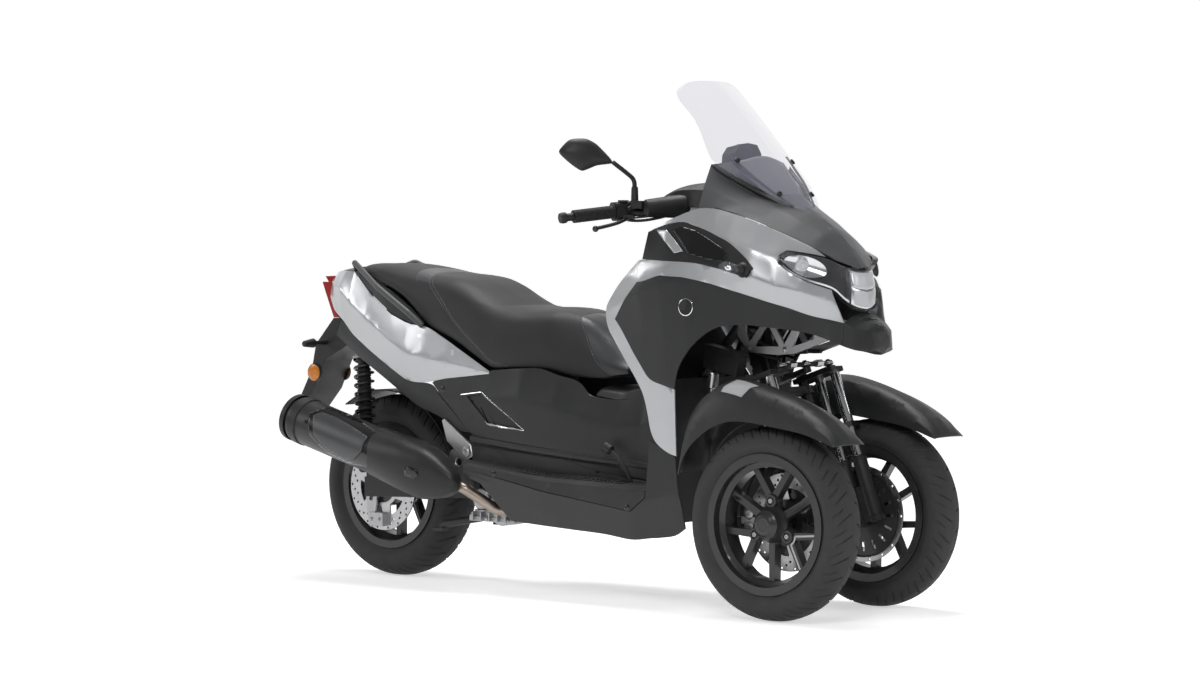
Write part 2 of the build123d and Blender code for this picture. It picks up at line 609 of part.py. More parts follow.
hollow = can(MUFFLER_R - MUFFLER_WALL, 57.0, CONE_TIP_R - MUFFLER_WALL, MUFFLER_WALL)
canister = can(MUFFLER_R, 60.0, CONE_TIP_R, 0.0) - hollow
canister -= Pos(0, 0, -1) * extrude(Circle(TAILPIPE_R), 20)
canister = canister_plane * canister
save("muffler", canister)
pipe_end = tuple(Vector(*muffler_front) + muffler_dir * (CONE_LENGTH + SEAT_GAP))
pipe_bend = tuple(Vector(*muffler_front) + muffler_dir * 290)
pipe = tube([pipe_end, pipe_bend, (-190, -175, 240), (-90, -90, 220), (-40, 0, 240), (-40, 0, 299.7)], 16, 30)
pipe += bar(pipe_end, tuple(Vector(*pipe_end) + muffler_dir * 8), CONE_TIP_R)
save("exhaust_pipe", pipe)

# Bodywork of the front: rows of x and (|y|, z) points from the cowl's seam down to the wheel arch
FRONT_SIDE = [
    (270, [(236, 1046), (242, 960), (244, 900), (245, 816), (245, 700), (245, 560), (240, 400)]),
    (430, [(240, 1046), (262, 985), (280, 930), (284, 880), (270, 760), (262, 600), (252, 400)]),
    (507, [(245, 1077), (262, 1010), (281, 950), (285, 905), (276, 760), (268, 600), (258, 400)]),
    (592, [(230, 1107), (252, 1035), (273, 965), (275, 910), (274, 790), (270, 640), (262, 400)]),
    (650, [(217, 1107), (246, 1035), (267, 960), (266, 900), (264, 800), (258, 640), (250, 400)]),
    (704, [(200, 1091), (239, 1025), (258, 950), (254, 890), (252, 800), (245, 650), (240, 400)]),
    (765, [(175, 1067), (226, 1000), (244, 930), (232, 872), (230, 795), (222, 650), (220, 400)]),
    (835, [(145, 1035), (201, 970), (216, 900), (198, 847), (196, 780), (188, 650), (185, 400)]),
    (900, [(118, 1002), (166, 945), (172, 880), (146, 819), (152, 765), (145, 650), (140, 400)]),
    (950, [(86, 970), (124, 915), (128, 860), (113, 806), (122, 745), (115, 650), (110, 400)]),
    (990, [(66, 935), (88, 900), (96, 850), (97, 799), (102, 735), (96, 650), (90, 400)]),
]
COWL_SEAM = [
    (430, 1046), (507, 1077), (592, 1107), (637, 1109), (704, 1091),
    (765, 1067), (835, 1035), (900, 1002), (930, 977),
]
SILVER_LOW = [
    (440, 907), (497, 924), (580, 920), (661, 904),
    (755, 876), (860, 840), (911, 817), (988, 799),
]
ARCH = [
    (988, 737), (919, 767), (862, 780), (755, 793), (690, 788),
    (640, 764), (598, 726), (562, 678), (550, 645), (545, 613),
]
STRIP_REAR = [
    (417, 966), (379, 932), (330, 889), (290, 842), (283, 816), (293, 778), (335, 723),
    (401, 640), (428, 598), (444, 544), (455, 485), (482, 456), (536, 429),
]
STRIP_FRONT = [(545, 613), (455, 638), (400, 704), (346, 779), (324, 802), (367, 856), (422, 907)]
INTAKE = [
    (430, 1044), (490, 1062), (548, 1073), (630, 1050), (708, 1016), (760, 975),
    (785, 945), (770, 919), (690, 944), (610, 960), (440, 968), (430, 968),
]
LAMP_TOP = [(840, 979), (862, 992), (903, 984), (953, 970), (970, 951)]
LAMP_LOW = [(842, 960), (873, 933), (910, 910), (963, 886), (981, 854)]

front_wall = skin(FRONT_SIDE, ruled=True)
upper_outline = [(433, 968), (433, 1044)] + COWL_SEAM[1:] + [(962, 955), (960, 886)]
upper_outline += SILVER_LOW[::-1] + [(422, 907), (417, 966)]
lamp_outline = LAMP_TOP + LAMP_LOW[::-1]
upper = front_wall & prism(upper_outline, -FAR, -40, half_seam)
upper -= prism(INTAKE, -FAR, -40, SEAM / 2)
upper -= prism(lamp_outline, -FAR, -40, SEAM / 2)
save("upper_fairings", both(upper))
intake = front_wall & prism(INTAKE, -FAR, -40, half_seam)
save("intake_panels", both(intake))
stalk = bar((768, -215, 946), (780, -262, 949), 9) + bar((780, -250, 949), (787, -312, 951), 15, 10)
stalk -= upper + intake
save("front_indicators", both(max(stalk.solids(), key=lambda solid: solid.volume)))
lower_outline = SILVER_LOW + ARCH + STRIP_FRONT[1:]

lower = front_wall & prism(lower_outline, -FAR, -40, half_seam)
save("lower_fairings", both(lower))
strip_outline = STRIP_REAR + [(545, 430)] + STRIP_FRONT
strip = front_wall & prism(strip_outline, -FAR, -40, half_seam)
save("leg_strips", both(strip))

# Nose: closed front end of the lower fairing
NOSE = [
    (988.3, [(0, 826), (40, 822), (97, 798), (102, 737), (0, 728)]),
    (1012, [(0, 808), (34, 804), (80, 786), (86, 728), (0, 716)]),
    (1036, [(0, 797), (22, 794), (58, 776), (64, 722), (0, 710)]),
    (1050, [(0, 786), (12, 784), (36, 768), (42, 726), (0, 714)]),
    (1058, [(0, 772), (6, 770), (16, 760), (20, 738), (0, 726)]),
]
save("nose", body(NOSE, ruled=True))

# Headlight unit: one lens and housing that wraps round the front
LAMP = [
    (846, [(0, 962), (150, 962), (190, 972), (196, 960), (186, 950), (0, 950)]),
    (880, [(0, 975), (140, 982), (170, 984), (178, 950), (168, 930), (0, 930)]),
    (915, [(0, 965), (110, 975), (140, 974), (152, 930), (148, 908), (0, 908)]),
    (955, [(0, 955), (80, 965), (108, 962), (122, 910), (112, 884), (0, 880)]),
    (980, [(0, 945), (40, 948), (62, 942), (84, 890), (72, 852), (0, 838)]),
    (998, [(0, 930), (20, 926), (34, 905), (42, 870), (30, 838), (0, 830)]),
]
lamp = body(LAMP, ruled=True) - prism([(830, 960), (870, 1000), (980, 1000), (860, 860)], -120, 120)
save("headlight", lamp)

# Cowl between the screen and the upper fairings
COWL = [
    (596, [(0, 1232), (90, 1236), (172, 1228), (204, 1168), (228, 1108)]),
    (650, [(0, 1205), (90, 1200), (150, 1180), (190, 1140), (215, 1108)]),
    (704, [(0, 1168), (70, 1160), (125, 1140), (168, 1115), (198, 1092)]),
    (765, [(0, 1128), (50, 1122), (98, 1108), (140, 1086), (174, 1067)]),
    (835, [(0, 1092), (40, 1084), (80, 1072), (115, 1052), (144, 1035)]),
    (900, [(0, 1047), (30, 1042), (58, 1034), (90, 1018), (116, 1002)]),
    (950, [(0, 994), (20, 990), (40, 984), (62, 976), (84, 970)]),
    (984, [(0, 952), (10, 950), (20, 948), (30, 944), (40, 940)]),
]
above_seam = COWL_SEAM[1:] + [(990, 936), (1100, 1300), (500, 1300)]
cowl = arched(COWL, ruled=True) & prism(above_seam, -FAR, FAR, half_seam)
save("cowl", cowl - lamp)
under_cowl = body([(x, line + [(line[-1][0], 900), (0, 900)]) for x, line in COWL], ruled=True)

# Windscreen: a curved clear sheet on two dark side trims
# columns: height, x at the middle, half width, sweep back of the edge
SCREEN = [
    (1096, 812, 12, 6),
    (1130, 782, 44, 10),
    (1180, 740, 90, 22),
    (1250, 676, 140, 42),
    (1328, 606, 166, 58),
    (1400, 538, 170, 66),
    (1440, 500, 150, 50),
    (1466, 472, 110, 26),
]
SCREEN_T = 4.0


def screen():
    faces = []
    for z, x, half, back in SCREEN:
        arc_out = ThreePointArc((x - back, -half, z), (x, 0, z), (x - back, half, z))
        x_in = x - SCREEN_T
        arc_in = ThreePointArc((x_in - back, -half, z), (x_in, 0, z), (x_in - back, half, z))
        sides = [Line(arc_out @ 0, arc_in @ 0), Line(arc_out @ 1, arc_in @ 1)]
        faces.append(make_face([arc_out, arc_in] + sides))
    return loft(faces)


save("windscreen", screen() - Pos(0, 0, SEAT_GAP) * under_cowl)

# Dash wall behind the screen with the instrument hood on it, and the inner leg shield
HOOD = [
    (545, [(0, 1282), (38, 1278), (58, 1256), (62, 1214), (0, 1214)]),
    (594, [(0, 1291), (40, 1287), (60, 1262), (64, 1214), (0, 1214)]),
]
dash = prism([(586, 1105), (592, 1105), (600, 1222), (594, 1222)], -166, 166)
save("dash", dash + body(HOOD, ruled=True))
SHIELD = [
    (425, 1040), (417, 966), (379, 932), (330, 889), (302, 842), (297, 816), (305, 778),
    (345, 723), (411, 640), (438, 598), (452, 544), (462, 485), (458, 420), (440, 366),
]
shield = prism(SHIELD + [(x + 5, z - 1) for x, z in SHIELD][::-1], -236, 236)
save("leg_shield", shield - chassis)
ahead_of_shield = SHIELD + [(437, 330), (700, 330), (700, 1040)]

# Wheel arch liner
LINER_X = 497.0
liner_outline = [(-200, 240), (200, 240), (228, 420), (234, 640), (-234, 640), (-228, 420)]
liner = Plane(origin=(LINER_X, 0, 0), x_dir=(0, 1, 0), z_dir=(1, 0, 0)) * extrude(
    make_face(Polyline(*liner_outline, close=True)), PANEL)
save("arch_liner", liner)

# Seat: a padded lid over the storage tub, hinged at its front
SEAT = [
    (-800, [(0, 951), (60, 948), (95, 938), (106, 924), (98, 914), (0, 914)]),
    (-700, [(0, 948), (85, 945), (125, 932), (142, 910), (134, 896), (0, 896)]),
    (-584, [(0, 932), (95, 930), (145, 912), (162, 880), (156, 858), (0, 858)]),
    (-520, [(0, 922), (98, 920), (150, 900), (168, 845), (162, 812), (0, 812)]),
    (-471, [(0, 921), (100, 918), (155, 888), (172, 815), (166, 771), (0, 771)]),
    (-400, [(0, 916), (102, 912), (158, 875), (176, 790), (168, 742), (0, 742)]),
    (-336, [(0, 903), (104, 898), (160, 852), (177, 760), (170, 715), (0, 715)]),
    (-265, [(0, 862), (106, 858), (162, 818), (179, 730), (174, 677), (0, 677)]),
    (-199, [(0, 826), (105, 824), (160, 790), (178, 705), (174, 645), (0, 645)]),
    (-110, [(0, 821), (98, 818), (150, 788), (168, 705), (166, 652), (0, 652)]),
    (-29, [(0, 824), (88, 820), (136, 790), (154, 710), (152, 655), (0, 655)]),
    (60, [(0, 812), (72, 806), (108, 770), (126, 690), (124, 628), (0, 628)]),
    (140, [(0, 745), (56, 738), (86, 710), (104, 665), (102, 622), (0, 622)]),
    (235, [(0, 672), (45, 669), (68, 662), (84, 650), (84, 640), (0, 640)]),
]
seat = body(SEAT, ruled=True)
save("seat", seat)
HINGE_X = 220.0
HINGE_R = 5.0
slope = (640.0 - 622.0) / (235.0 - 140.0)
HINGE_Z = 622.0 + slope * (HINGE_X - 140.0) - (HINGE_R + SEAT_GAP) * math.hypot(1, slope)
TUNNEL = [
    (150, [(0, 606), (70, 604), (114, 596), (130, 580)]),
    (243, [(0, 600), (70, 597), (112, 588), (128, 570)]),
    (330, [(0, 625), (70, 620), (112, 605), (128, 585)]),
    (440, [(0, 730), (75, 722), (112, 700), (128, 672)]),
]
hinge = block(HINGE_X - 3, HINGE_X + 3, -20, 20, 599, HINGE_Z)
hinge += bar((HINGE_X, -20, HINGE_Z), (HINGE_X, 20, HINGE_Z), HINGE_R)
tunnel = arched(TUNNEL, ruled=True) - prism(ahead_of_shield, -300, 300, SEAM)
save("tunnel_cover", tunnel + hinge)

# Storage tub under the seat
TUB_HALF = 100.0
TUB_WALL = 4.0
seat_under = [(x, line[-1][1] - SEAT_GAP) for x, line in SEAT]
tub_top = [(x, z) for x, z in seat_under if -700 <= x <= -110]
tub_out = tub_top + [(-110, 480), (-420, 480), (-540, 690), (-700, 770)]
tub_in = [(x, z + 5) for x, z in tub_top]
tub_in[0] = (-700 + TUB_WALL, tub_in[0][1])
tub_in[-1] = (-110 - TUB_WALL, tub_in[-1][1])
tub_in += [(-110 - TUB_WALL, 480 + TUB_WALL), (-417, 480 + TUB_WALL)]
tub_in += [(-537, 690 + TUB_WALL), (-700 + TUB_WALL, 776)]
tub = prism(tub_out, -TUB_HALF, TUB_HALF) - prism(tub_in, -TUB_HALF + TUB_WALL, TUB_HALF - TUB_WALL)
save("storage_tub", tub)

# Rear side panels in silver paint, from the tail to the tip under the seat
REAR_PANEL = [
    (-938, [(62, 924), (92, 892), (98, 846)]),
    (-900, [(95, 926), (124, 888), (118, 806)]),
    (-847, [(124, 928), (152, 872), (140, 782)]),
    (-794, [(140, 926), (166, 838), (150, 738)]),
    (-712, [(155, 858), (178, 787), (160, 690)]),
    (-619, [(166, 800), (186, 732), (168, 640)]),
    (-539, [(172, 772), (190, 687), (173, 602)]),
    (-465, [(178, 767), (193, 675), (177, 601)]),
    (-381, [(182, 729), (193, 663), (181, 615)]),
    (-207, [(186, 641), (189, 637), (188, 633)]),
]
rear_panel = skin(REAR_PANEL, ruled=True)
save("rear_side_panels", both(rear_panel))

# Dark walls below them: under panels at the tail, side covers beside the engine
LOW_WALL = [
    (-890, [(134, 800), (134, 760), (130, 730), (120, 690)]),
    (-779, [(150, 740), (147, 700), (141, 668), (130, 620)]),
    (-666, [(160, 680), (157, 640), (150, 610), (140, 560)]),
    (-587, [(169, 640), (166, 600), (158, 568), (148, 520)]),
    (-512, [(174, 620), (172, 575), (164, 528), (152, 480)]),
    (-411, [(180, 625), (184, 560), (174, 498), (162, 450)]),
    (-311, [(184, 640), (192, 560), (186, 470), (176, 420)]),
    (-207, [(186, 655), (198, 560), (194, 450), (186, 400)]),
    (-85, [(180, 665), (202, 560), (200, 440), (190, 390)]),
    (41, [(160, 650), (194, 545), (196, 430), (184, 370)]),
    (146, [(134, 625), (182, 520), (184, 420), (176, 350)]),
    (243, [(131, 600), (168, 500), (168, 400), (168, 330)]),
    (330, [(130, 600), (152, 500), (154, 420), (162, 320)]),
    (470, [(130, 700), (145, 560), (148, 430), (160, 320)]),
]
low_wall = skin(LOW_WALL, ruled=True)
under_outline = [
    (-879, 732), (-779, 670), (-587, 570), (-512, 530), (-411, 501), (-311, 459), (-284, 461),
    (-440, 596), (-465, 600), (-539, 601), (-619, 639), (-712, 689), (-794, 737), (-847, 781),
]
under = low_wall & prism(under_outline, -FAR, -40, half_seam)
save("under_panels", both(under))
cover_outline = [
    (-284, 461), (-218, 437), (-85, 428), (146, 414), (243, 395), (303, 358), (470, 340),
    (470, 672), (440, 671), (330, 584), (243, 569), (150, 579), (100, 620), (41, 634),
    (-29, 654), (-110, 651), (-199, 644), (-207, 632), (-381, 614), (-440, 602),
]
cover = low_wall & prism(cover_outline, -FAR, -40, half_seam)
cover -= prism(ahead_of_shield, -FAR, FAR, SEAM)
VENT = [(-290, 566), (-233, 574), (-70, 480), (-205, 490)]
cover -= prism(VENT, -FAR, -40)
grille = Pos(0, PANEL + SEAT_GAP, 0) * (low_wall & prism(VENT, -FAR, -40, 8))
save("side_covers", both(cover))
save("vent_grilles", both(grille))

# Dark fillets between the seat's edge and the silver panels
TAIL_SIDE = [
    (-790, [(110, 920), (137, 928)]),
    (-712, [(142, 900), (153, 861)]),
    (-619, [(160, 868), (164, 803)]),
    (-539, [(168, 822), (170, 775)]),
    (-480, [(172, 780), (175, 772)]),
]
fillet = skin(TAIL_SIDE, ruled=True) - Pos(0, -SEAM, 0) * seat - Pos(0, 0, SEAM) * rear_panel
TAIL = [
    (-806, [(0, 944), (80, 940), (130, 927), (126, 919), (0, 916)]),
    (-847, [(0, 941), (72, 938), (115, 928), (111, 920), (0, 916)]),
    (-900, [(0, 936), (56, 933), (86, 925), (82, 918), (0, 914)]),
    (-938, [(0, 930), (38, 928), (54, 923), (50, 917), (0, 912)]),
    (-985, [(0, 922), (12, 921), (20, 918), (18, 914), (0, 910)]),
]
tail = body(TAIL, ruled=True)
save("tail_covers", both(fillet) + list(tail.solids()))
lamp_red = prism([(-940, 911.6), (-985, 909.7), (-960, 880), (-926, 782), (-902, 782), (-932, 880)], -72, 72)
LENS = [(-939.5, 893), (-976, 893), (-962, 860), (-928, 784), (-902, 784), (-903.5, 806), (-939.5, 845)]
lamp_red += prism(LENS, -94, 94)
save("tail_lamp", lamp_red)
HOLDER = [
    (-890, 781.7), (-960, 781.7), (-1037, 700), (-1055, 622), (-1112, 524),
    (-1125, 500), (-1104, 498), (-1046, 560), (-1000, 650), (-900, 700),
]
holder = prism(HOLDER, -62, 62)
holder += bar((-990, -118, 705), (-990, 118, 705), 7)
save("plate_holder", holder)
save("rear_indicators", both(bar((-990, -118 - SEAT_GAP, 705), (-990, -162, 703), 15, 9)))
RAIL = [(-828, -92, 933), (-800, -134, 953), (-650, -190, 880), (-520, -196, 806), (-478, -180, 768)]
rail = tube(RAIL, 9, 14)
rail -= tail + rear_panel + fillet
save("grab_rails", both(max(rail.solids(), key=lambda s: s.volume)))

# Foot boards and the skirts under them
FLOOR = [
    (-242, [(186, 446), (190, 384), (246, 382), (260, 374), (262, 362)]),
    (-100, [(191, 428), (194, 368), (250, 366), (264, 358), (265, 340)]),
    (62, [(188, 418), (192, 352), (250, 350), (264, 340), (266, 312)]),
    (223, [(168, 398), (172, 348), (250, 346), (264, 334), (266, 292)]),
    (303, [(160, 357), (164, 346), (250, 344), (264, 330), (266, 282)]),
    (383, [(156, 349), (160, 344), (250, 342), (264, 326), (266, 272)]),
    (436, [(150, 357), (154, 350), (250, 346), (262, 332), (264, 312)]),
]
SKIRT = [
    (-260, [(250, 490), (256, 360), (246, 300), (226, 180)]),
    (60, [(266, 490), (266, 310), (256, 250), (236, 170)]),
    (380, [(264, 490), (266, 290), (254, 240), (236, 160)]),
    (560, [(256, 490), (252, 330), (238, 260), (206, 160)]),
]
skirt_outline = [
    (-242, 361), (62, 310), (383, 270), (436, 310), (450, 470), (482, 456), (530, 432), (538, 424),
    (544, 340), (552, 300), (552, 230), (512, 206), (374, 189), (278, 200), (-75, 217), (-189, 326),
]
skirt = skin(SKIRT, ruled=True) & prism(skirt_outline, -FAR, -40, half_seam)
fill_faces = []
for x, line in LOW_WALL:
    fill_faces.append(section(x, [(-y, z) for y, z in line] + [(-40, line[-1][1]), (-40, line[0][1])]))
wall_fill = loft(fill_faces, ruled=True)
floor = skin(FLOOR, ruled=True) - prism(skirt_outline, -FAR, -40, SEAM / 2) - Pos(0, -SEAM, 0) * wall_fill
save("foot_boards", both(floor))
save("skirts", both(skirt))

# Centre stand, folded back under the engine
stand = bar((STAND_X, -130, STAND_Z), (STAND_X, 130, STAND_Z), 10)
for side in (-1, 1):
    stand += bar((STAND_X, side * 122, STAND_Z), (STAND_X - 230, side * 135, STAND_Z - 42), 11)
    foot_y = side * 135
    stand += block(STAND_X - 262, STAND_X - 222, foot_y - 14, foot_y + 14, STAND_Z - 62, STAND_Z - 52)
    stand += block(STAND_X - 240, STAND_X - 226, foot_y - 10, foot_y + 10, STAND_Z - 54, STAND_Z - 40)
stand += bar((STAND_X - 150, -130, STAND_Z - 27), (STAND_X - 150, 130, STAND_Z - 27), 8)
save("centre_stand", stand)
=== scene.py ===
import json
import math

import bmesh
import bpy
import numpy as np
from mathutils import Matrix, Vector
from mathutils.bvhtree import BVHTree

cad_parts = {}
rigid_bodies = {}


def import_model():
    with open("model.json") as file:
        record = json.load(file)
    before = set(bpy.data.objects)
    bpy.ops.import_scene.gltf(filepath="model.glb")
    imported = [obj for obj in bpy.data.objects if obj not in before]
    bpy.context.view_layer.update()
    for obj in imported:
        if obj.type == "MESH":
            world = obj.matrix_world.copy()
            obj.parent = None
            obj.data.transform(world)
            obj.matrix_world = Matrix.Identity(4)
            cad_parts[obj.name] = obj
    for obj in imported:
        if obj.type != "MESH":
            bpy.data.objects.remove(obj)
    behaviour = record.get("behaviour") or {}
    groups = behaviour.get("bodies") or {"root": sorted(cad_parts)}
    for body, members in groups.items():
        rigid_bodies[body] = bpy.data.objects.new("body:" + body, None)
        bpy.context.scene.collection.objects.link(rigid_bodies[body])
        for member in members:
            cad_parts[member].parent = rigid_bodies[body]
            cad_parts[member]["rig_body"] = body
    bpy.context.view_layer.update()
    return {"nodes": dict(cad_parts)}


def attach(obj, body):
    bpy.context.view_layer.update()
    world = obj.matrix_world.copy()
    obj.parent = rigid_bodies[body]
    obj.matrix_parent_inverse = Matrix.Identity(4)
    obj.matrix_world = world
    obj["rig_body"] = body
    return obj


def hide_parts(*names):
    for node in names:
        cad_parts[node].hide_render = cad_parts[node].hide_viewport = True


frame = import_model()
scene = bpy.context.scene


# Studio: a white paper sweep that curves up behind the vehicle, a soft overhead light and three
# side lights. The camera stands ahead of the right front wheel, as in the photograph.
def math_node(tree, operation, *given):
    """Output of a maths node; each thing given is a socket or a number."""
    node = tree.nodes.new("ShaderNodeMath")
    node.operation = operation
    for socket, value in zip(node.inputs, given):
        if isinstance(value, bpy.types.NodeSocket):
            tree.links.new(value, socket)
        else:
            socket.default_value = value
    return node.outputs["Value"]


def mapped(tree, value, from_min, from_max, to_min, to_max):
    """Output of a map range node for a value."""
    node = tree.nodes.new("ShaderNodeMapRange")
    for name, bound in (("From Min", from_min), ("From Max", from_max), ("To Min", to_min), ("To Max", to_max)):
        node.inputs[name].default_value = bound
    tree.links.new(value, node.inputs["Value"])
    return node.outputs["Result"]


def sweep_backdrop():
    """Floor and wall in one sheet, lit white for the camera and for what mirrors or lets it through."""
    profile = [(17.0, 0.0), (-20.0, 0.0)]
    for i in range(13):
        a = math.radians(90 * i / 12)
        profile.append((-20.0 - 6.0 * math.sin(a), 6.0 - 6.0 * math.cos(a)))
    profile.append((-26.0, 24.0))
    turn = math.radians(-50.1)
    verts, faces = [], []
    for u, z in profile:
        for v in (-34.0, 34.0):
            verts.append((u * math.cos(turn) - v * math.sin(turn), u * math.sin(turn) + v * math.cos(turn), z))
    for i in range(len(profile) - 1):
        faces.append((2 * i, 2 * i + 1, 2 * i + 3, 2 * i + 2))
    mesh = bpy.data.meshes.new("backdrop")
    mesh.from_pydata(verts, [], faces)
    mesh.polygons.foreach_set("use_smooth", [True] * len(faces))
    obj = bpy.data.objects.new("backdrop", mesh)
    scene.collection.objects.link(obj)
    paper = bpy.data.materials.new("white paper")
    paper.use_nodes = True
    nodes, links = paper.node_tree.nodes, paper.node_tree.links
    shader = nodes["Principled BSDF"]
    shader.inputs["Base Color"].default_value = (0.8, 0.8, 0.8, 1)
    shader.inputs["Roughness"].default_value = 0.9
    shader.inputs["Emission Color"].default_value = (1, 1, 1, 1)
    rays = nodes.new("ShaderNodeLightPath").outputs
    seen = math_node(paper.node_tree, "MAXIMUM", rays["Is Camera Ray"], rays["Is Glossy Ray"])
    seen = math_node(paper.node_tree, "MAXIMUM", seen, rays["Is Transmission Ray"])
    away = nodes.new("ShaderNodeVectorMath")
    away.operation = "LENGTH"
    links.new(nodes.new("ShaderNodeTexCoord").outputs["Object"], away.inputs[0])
    far = mapped(paper.node_tree, away.outputs["Value"], 2.5, 7.0, 0.56, 0.84)
    links.new(math_node(paper.node_tree, "MULTIPLY", seen, far), shader.inputs["Emission Strength"])
    mesh.materials.append(paper)


sweep_backdrop()
world = bpy.data.worlds.new("studio")
world.use_nodes = True
world.node_tree.nodes["Background"].inputs["Color"].default_value = (1.0, 1.0, 1.0, 1)
world.node_tree.nodes["Background"].inputs["Strength"].default_value = 0.2
scene.world = world
for name, place, aim, size, power in (
    ("key", (3.5, -5.5, 4.6), (0.2, 0, 0.6), 2.4, 175),
    ("top", (-0.5, 0.5, 5.2), (0, 0, 0.5), 3.0, 230),
    ("rim", (-4.5, -3.0, 2.6), (0, 0, 0.7), 2.0, 50),
    ("front", (6.0, 2.5, 2.4), (0.5, 0, 0.7), 2.0, 60),
):
    light = bpy.data.lights.new(name, "AREA")
    light.shape = "DISK"
    light.size = size
    light.energy = power
    lamp_object = bpy.data.objects.new(name, light)
    lamp_object.location = place
    lamp_object.rotation_euler = (Vector(aim) - Vector(place)).to_track_quat("-Z", "Y").to_euler()
    scene.collection.objects.link(lamp_object)

camera = bpy.data.cameras.new("camera")
camera.sensor_fit = "HORIZONTAL"
camera.sensor_width = 36.0
camera.lens = 96.94
camera.clip_end = 60.0
camera_object = bpy.data.objects.new("camera", camera)
camera_object.location = (6.0379, -7.1634, 1.0253)
toward = Vector((0.0558, 0, 0.7395)) - camera_object.location
camera_object.rotation_euler = toward.to_track_quat("-Z", "Y").to_euler()
scene.collection.objects.link(camera_object)
scene.camera = camera_object
scene.view_settings.view_transform = "Standard"


# Tubular steel frame with its head tube, the cast lean linkage in front of it and the light alloy truss
# that carries the nose. Powder coated black; the truss is bare cast alloy.
MM = 0.001


def mottle_group():
    """Shared surface effect: uneven tone, uneven gloss and a film of dust low down."""
    group = bpy.data.node_groups.new("mottle", "ShaderNodeTree")
    for name, way, kind in (
        ("Color", "INPUT", "NodeSocketColor"),
        ("Scale", "INPUT", "NodeSocketFloat"),
        ("Amount", "INPUT", "NodeSocketFloat"),
        ("Roughness", "INPUT", "NodeSocketFloat"),
        ("Dust", "INPUT", "NodeSocketFloat"),
        ("Color", "OUTPUT", "NodeSocketColor"),
        ("Roughness", "OUTPUT", "NodeSocketFloat"),
    ):
        group.interface.new_socket(name, in_out=way, socket_type=kind)
    nodes, links = group.nodes, group.links
    source = nodes.new("NodeGroupInput").outputs
    sink = nodes.new("NodeGroupOutput").inputs
    place = nodes.new("ShaderNodeTexCoord").outputs["Object"]
    noise = nodes.new("ShaderNodeTexNoise")
    noise.inputs["Detail"].default_value = 5.0
    links.new(place, noise.inputs["Vector"])
    links.new(source["Scale"], noise.inputs["Scale"])
    uneven = mapped(group, noise.outputs["Fac"], 0.25, 0.75, -1.0, 1.0)
    uneven = math_node(group, "MULTIPLY", uneven, source["Amount"])
    tone = nodes.new("ShaderNodeHueSaturation")
    links.new(source["Color"], tone.inputs["Color"])
    links.new(math_node(group, "ADD", uneven, 1.0), tone.inputs["Value"])
    split = nodes.new("ShaderNodeSeparateXYZ")
    links.new(place, split.inputs["Vector"])
    low = mapped(group, split.outputs["Z"], 0.75, 0.0, 0.0, 1.0)
    film = math_node(group, "MULTIPLY", low, source["Dust"])
    patchy = math_node(group, "MULTIPLY", film, noise.outputs["Fac"])
    dusty = nodes.new("ShaderNodeMix")
    dusty.data_type = "RGBA"
    dusty.inputs[7].default_value = (0.36, 0.34, 0.31, 1)
    links.new(patchy, dusty.inputs[0])
    links.new(tone.outputs["Color"], dusty.inputs[6])
    links.new(dusty.outputs[2], sink["Color"])
    rough = math_node(group, "MULTIPLY_ADD", uneven, 0.5, source["Roughness"])
    rougher = math_node(group, "ADD", rough, patchy)
    rougher.node.use_clamp = True
    links.new(rougher, sink["Roughness"])
    return group


MOTTLE = mottle_group()


def finish(name, color, rough, metal=0.0, scale=7.0, amount=0.08, dust=0.05, coat=0.0, grain=0.0,
           grain_scale=900.0, gloss_level=0.35):
    """Procedural material: a mottled colour with a little dust, and a fine grain where asked."""
    mat = bpy.data.materials.new(name)
    mat.use_nodes = True
    nodes, links = mat.node_tree.nodes, mat.node_tree.links
    shader = nodes["Principled BSDF"]
    mottle = nodes.new("ShaderNodeGroup")
    mottle.node_tree = MOTTLE
    mottle.inputs["Color"].default_value = (*color, 1)
    mottle.inputs["Scale"].default_value = scale
    mottle.inputs["Amount"].default_value = amount
    mottle.inputs["Roughness"].default_value = rough
    mottle.inputs["Dust"].default_value = dust
    links.new(mottle.outputs["Color"], shader.inputs["Base Color"])
    links.new(mottle.outputs["Roughness"], shader.inputs["Roughness"])
    shader.inputs["Metallic"].default_value = metal
    shader.inputs["Coat Weight"].default_value = coat
    shader.inputs["Specular IOR Level"].default_value = gloss_level
    shader.inputs["Coat Roughness"].default_value = 0.08
    if grain:
        place = nodes.new("ShaderNodeTexCoord")
        noise = nodes.new("ShaderNodeTexNoise")
        noise.inputs["Scale"].default_value = grain_scale
        noise.inputs["Detail"].default_value = 2.0
        bump = nodes.new("ShaderNodeBump")
        bump.inputs["Strength"].default_value = grain
        bump.inputs["Distance"].default_value = 0.0006
        links.new(place.outputs["Object"], noise.inputs["Vector"])
        links.new(noise.outputs["Fac"], bump.inputs["Height"])
        links.new(bump.outputs["Normal"], shader.inputs["Normal"])
    return mat


def mount(name, bm, mat, body, bevel=0.0, replaces=None, sharp=34.0):
    """Closes a bmesh into a piece: faces outward, smooth where it is smooth, with a finish, on its body."""
    bmesh.ops.recalc_face_normals(bm, faces=bm.faces)
    mesh = bpy.data.meshes.new(name)
    bm.to_mesh(mesh)
    bm.free()
    obj = bpy.data.objects.new(name, mesh)
    scene.collection.objects.link(obj)
    mesh.materials.append(mat)
    mesh.polygons.foreach_set("use_smooth", [True] * len(mesh.polygons))
    mesh.set_sharp_from_angle(angle=math.radians(sharp))
    if bevel:
        edge = obj.modifiers.new("bevel", "BEVEL")
        edge.width = bevel
        edge.segments = 2
        edge.limit_method = "ANGLE"
        edge.angle_limit = math.radians(sharp)
        edge.harden_normals = True
    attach(obj, body)
    if replaces:
        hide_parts(replaces)
    return obj


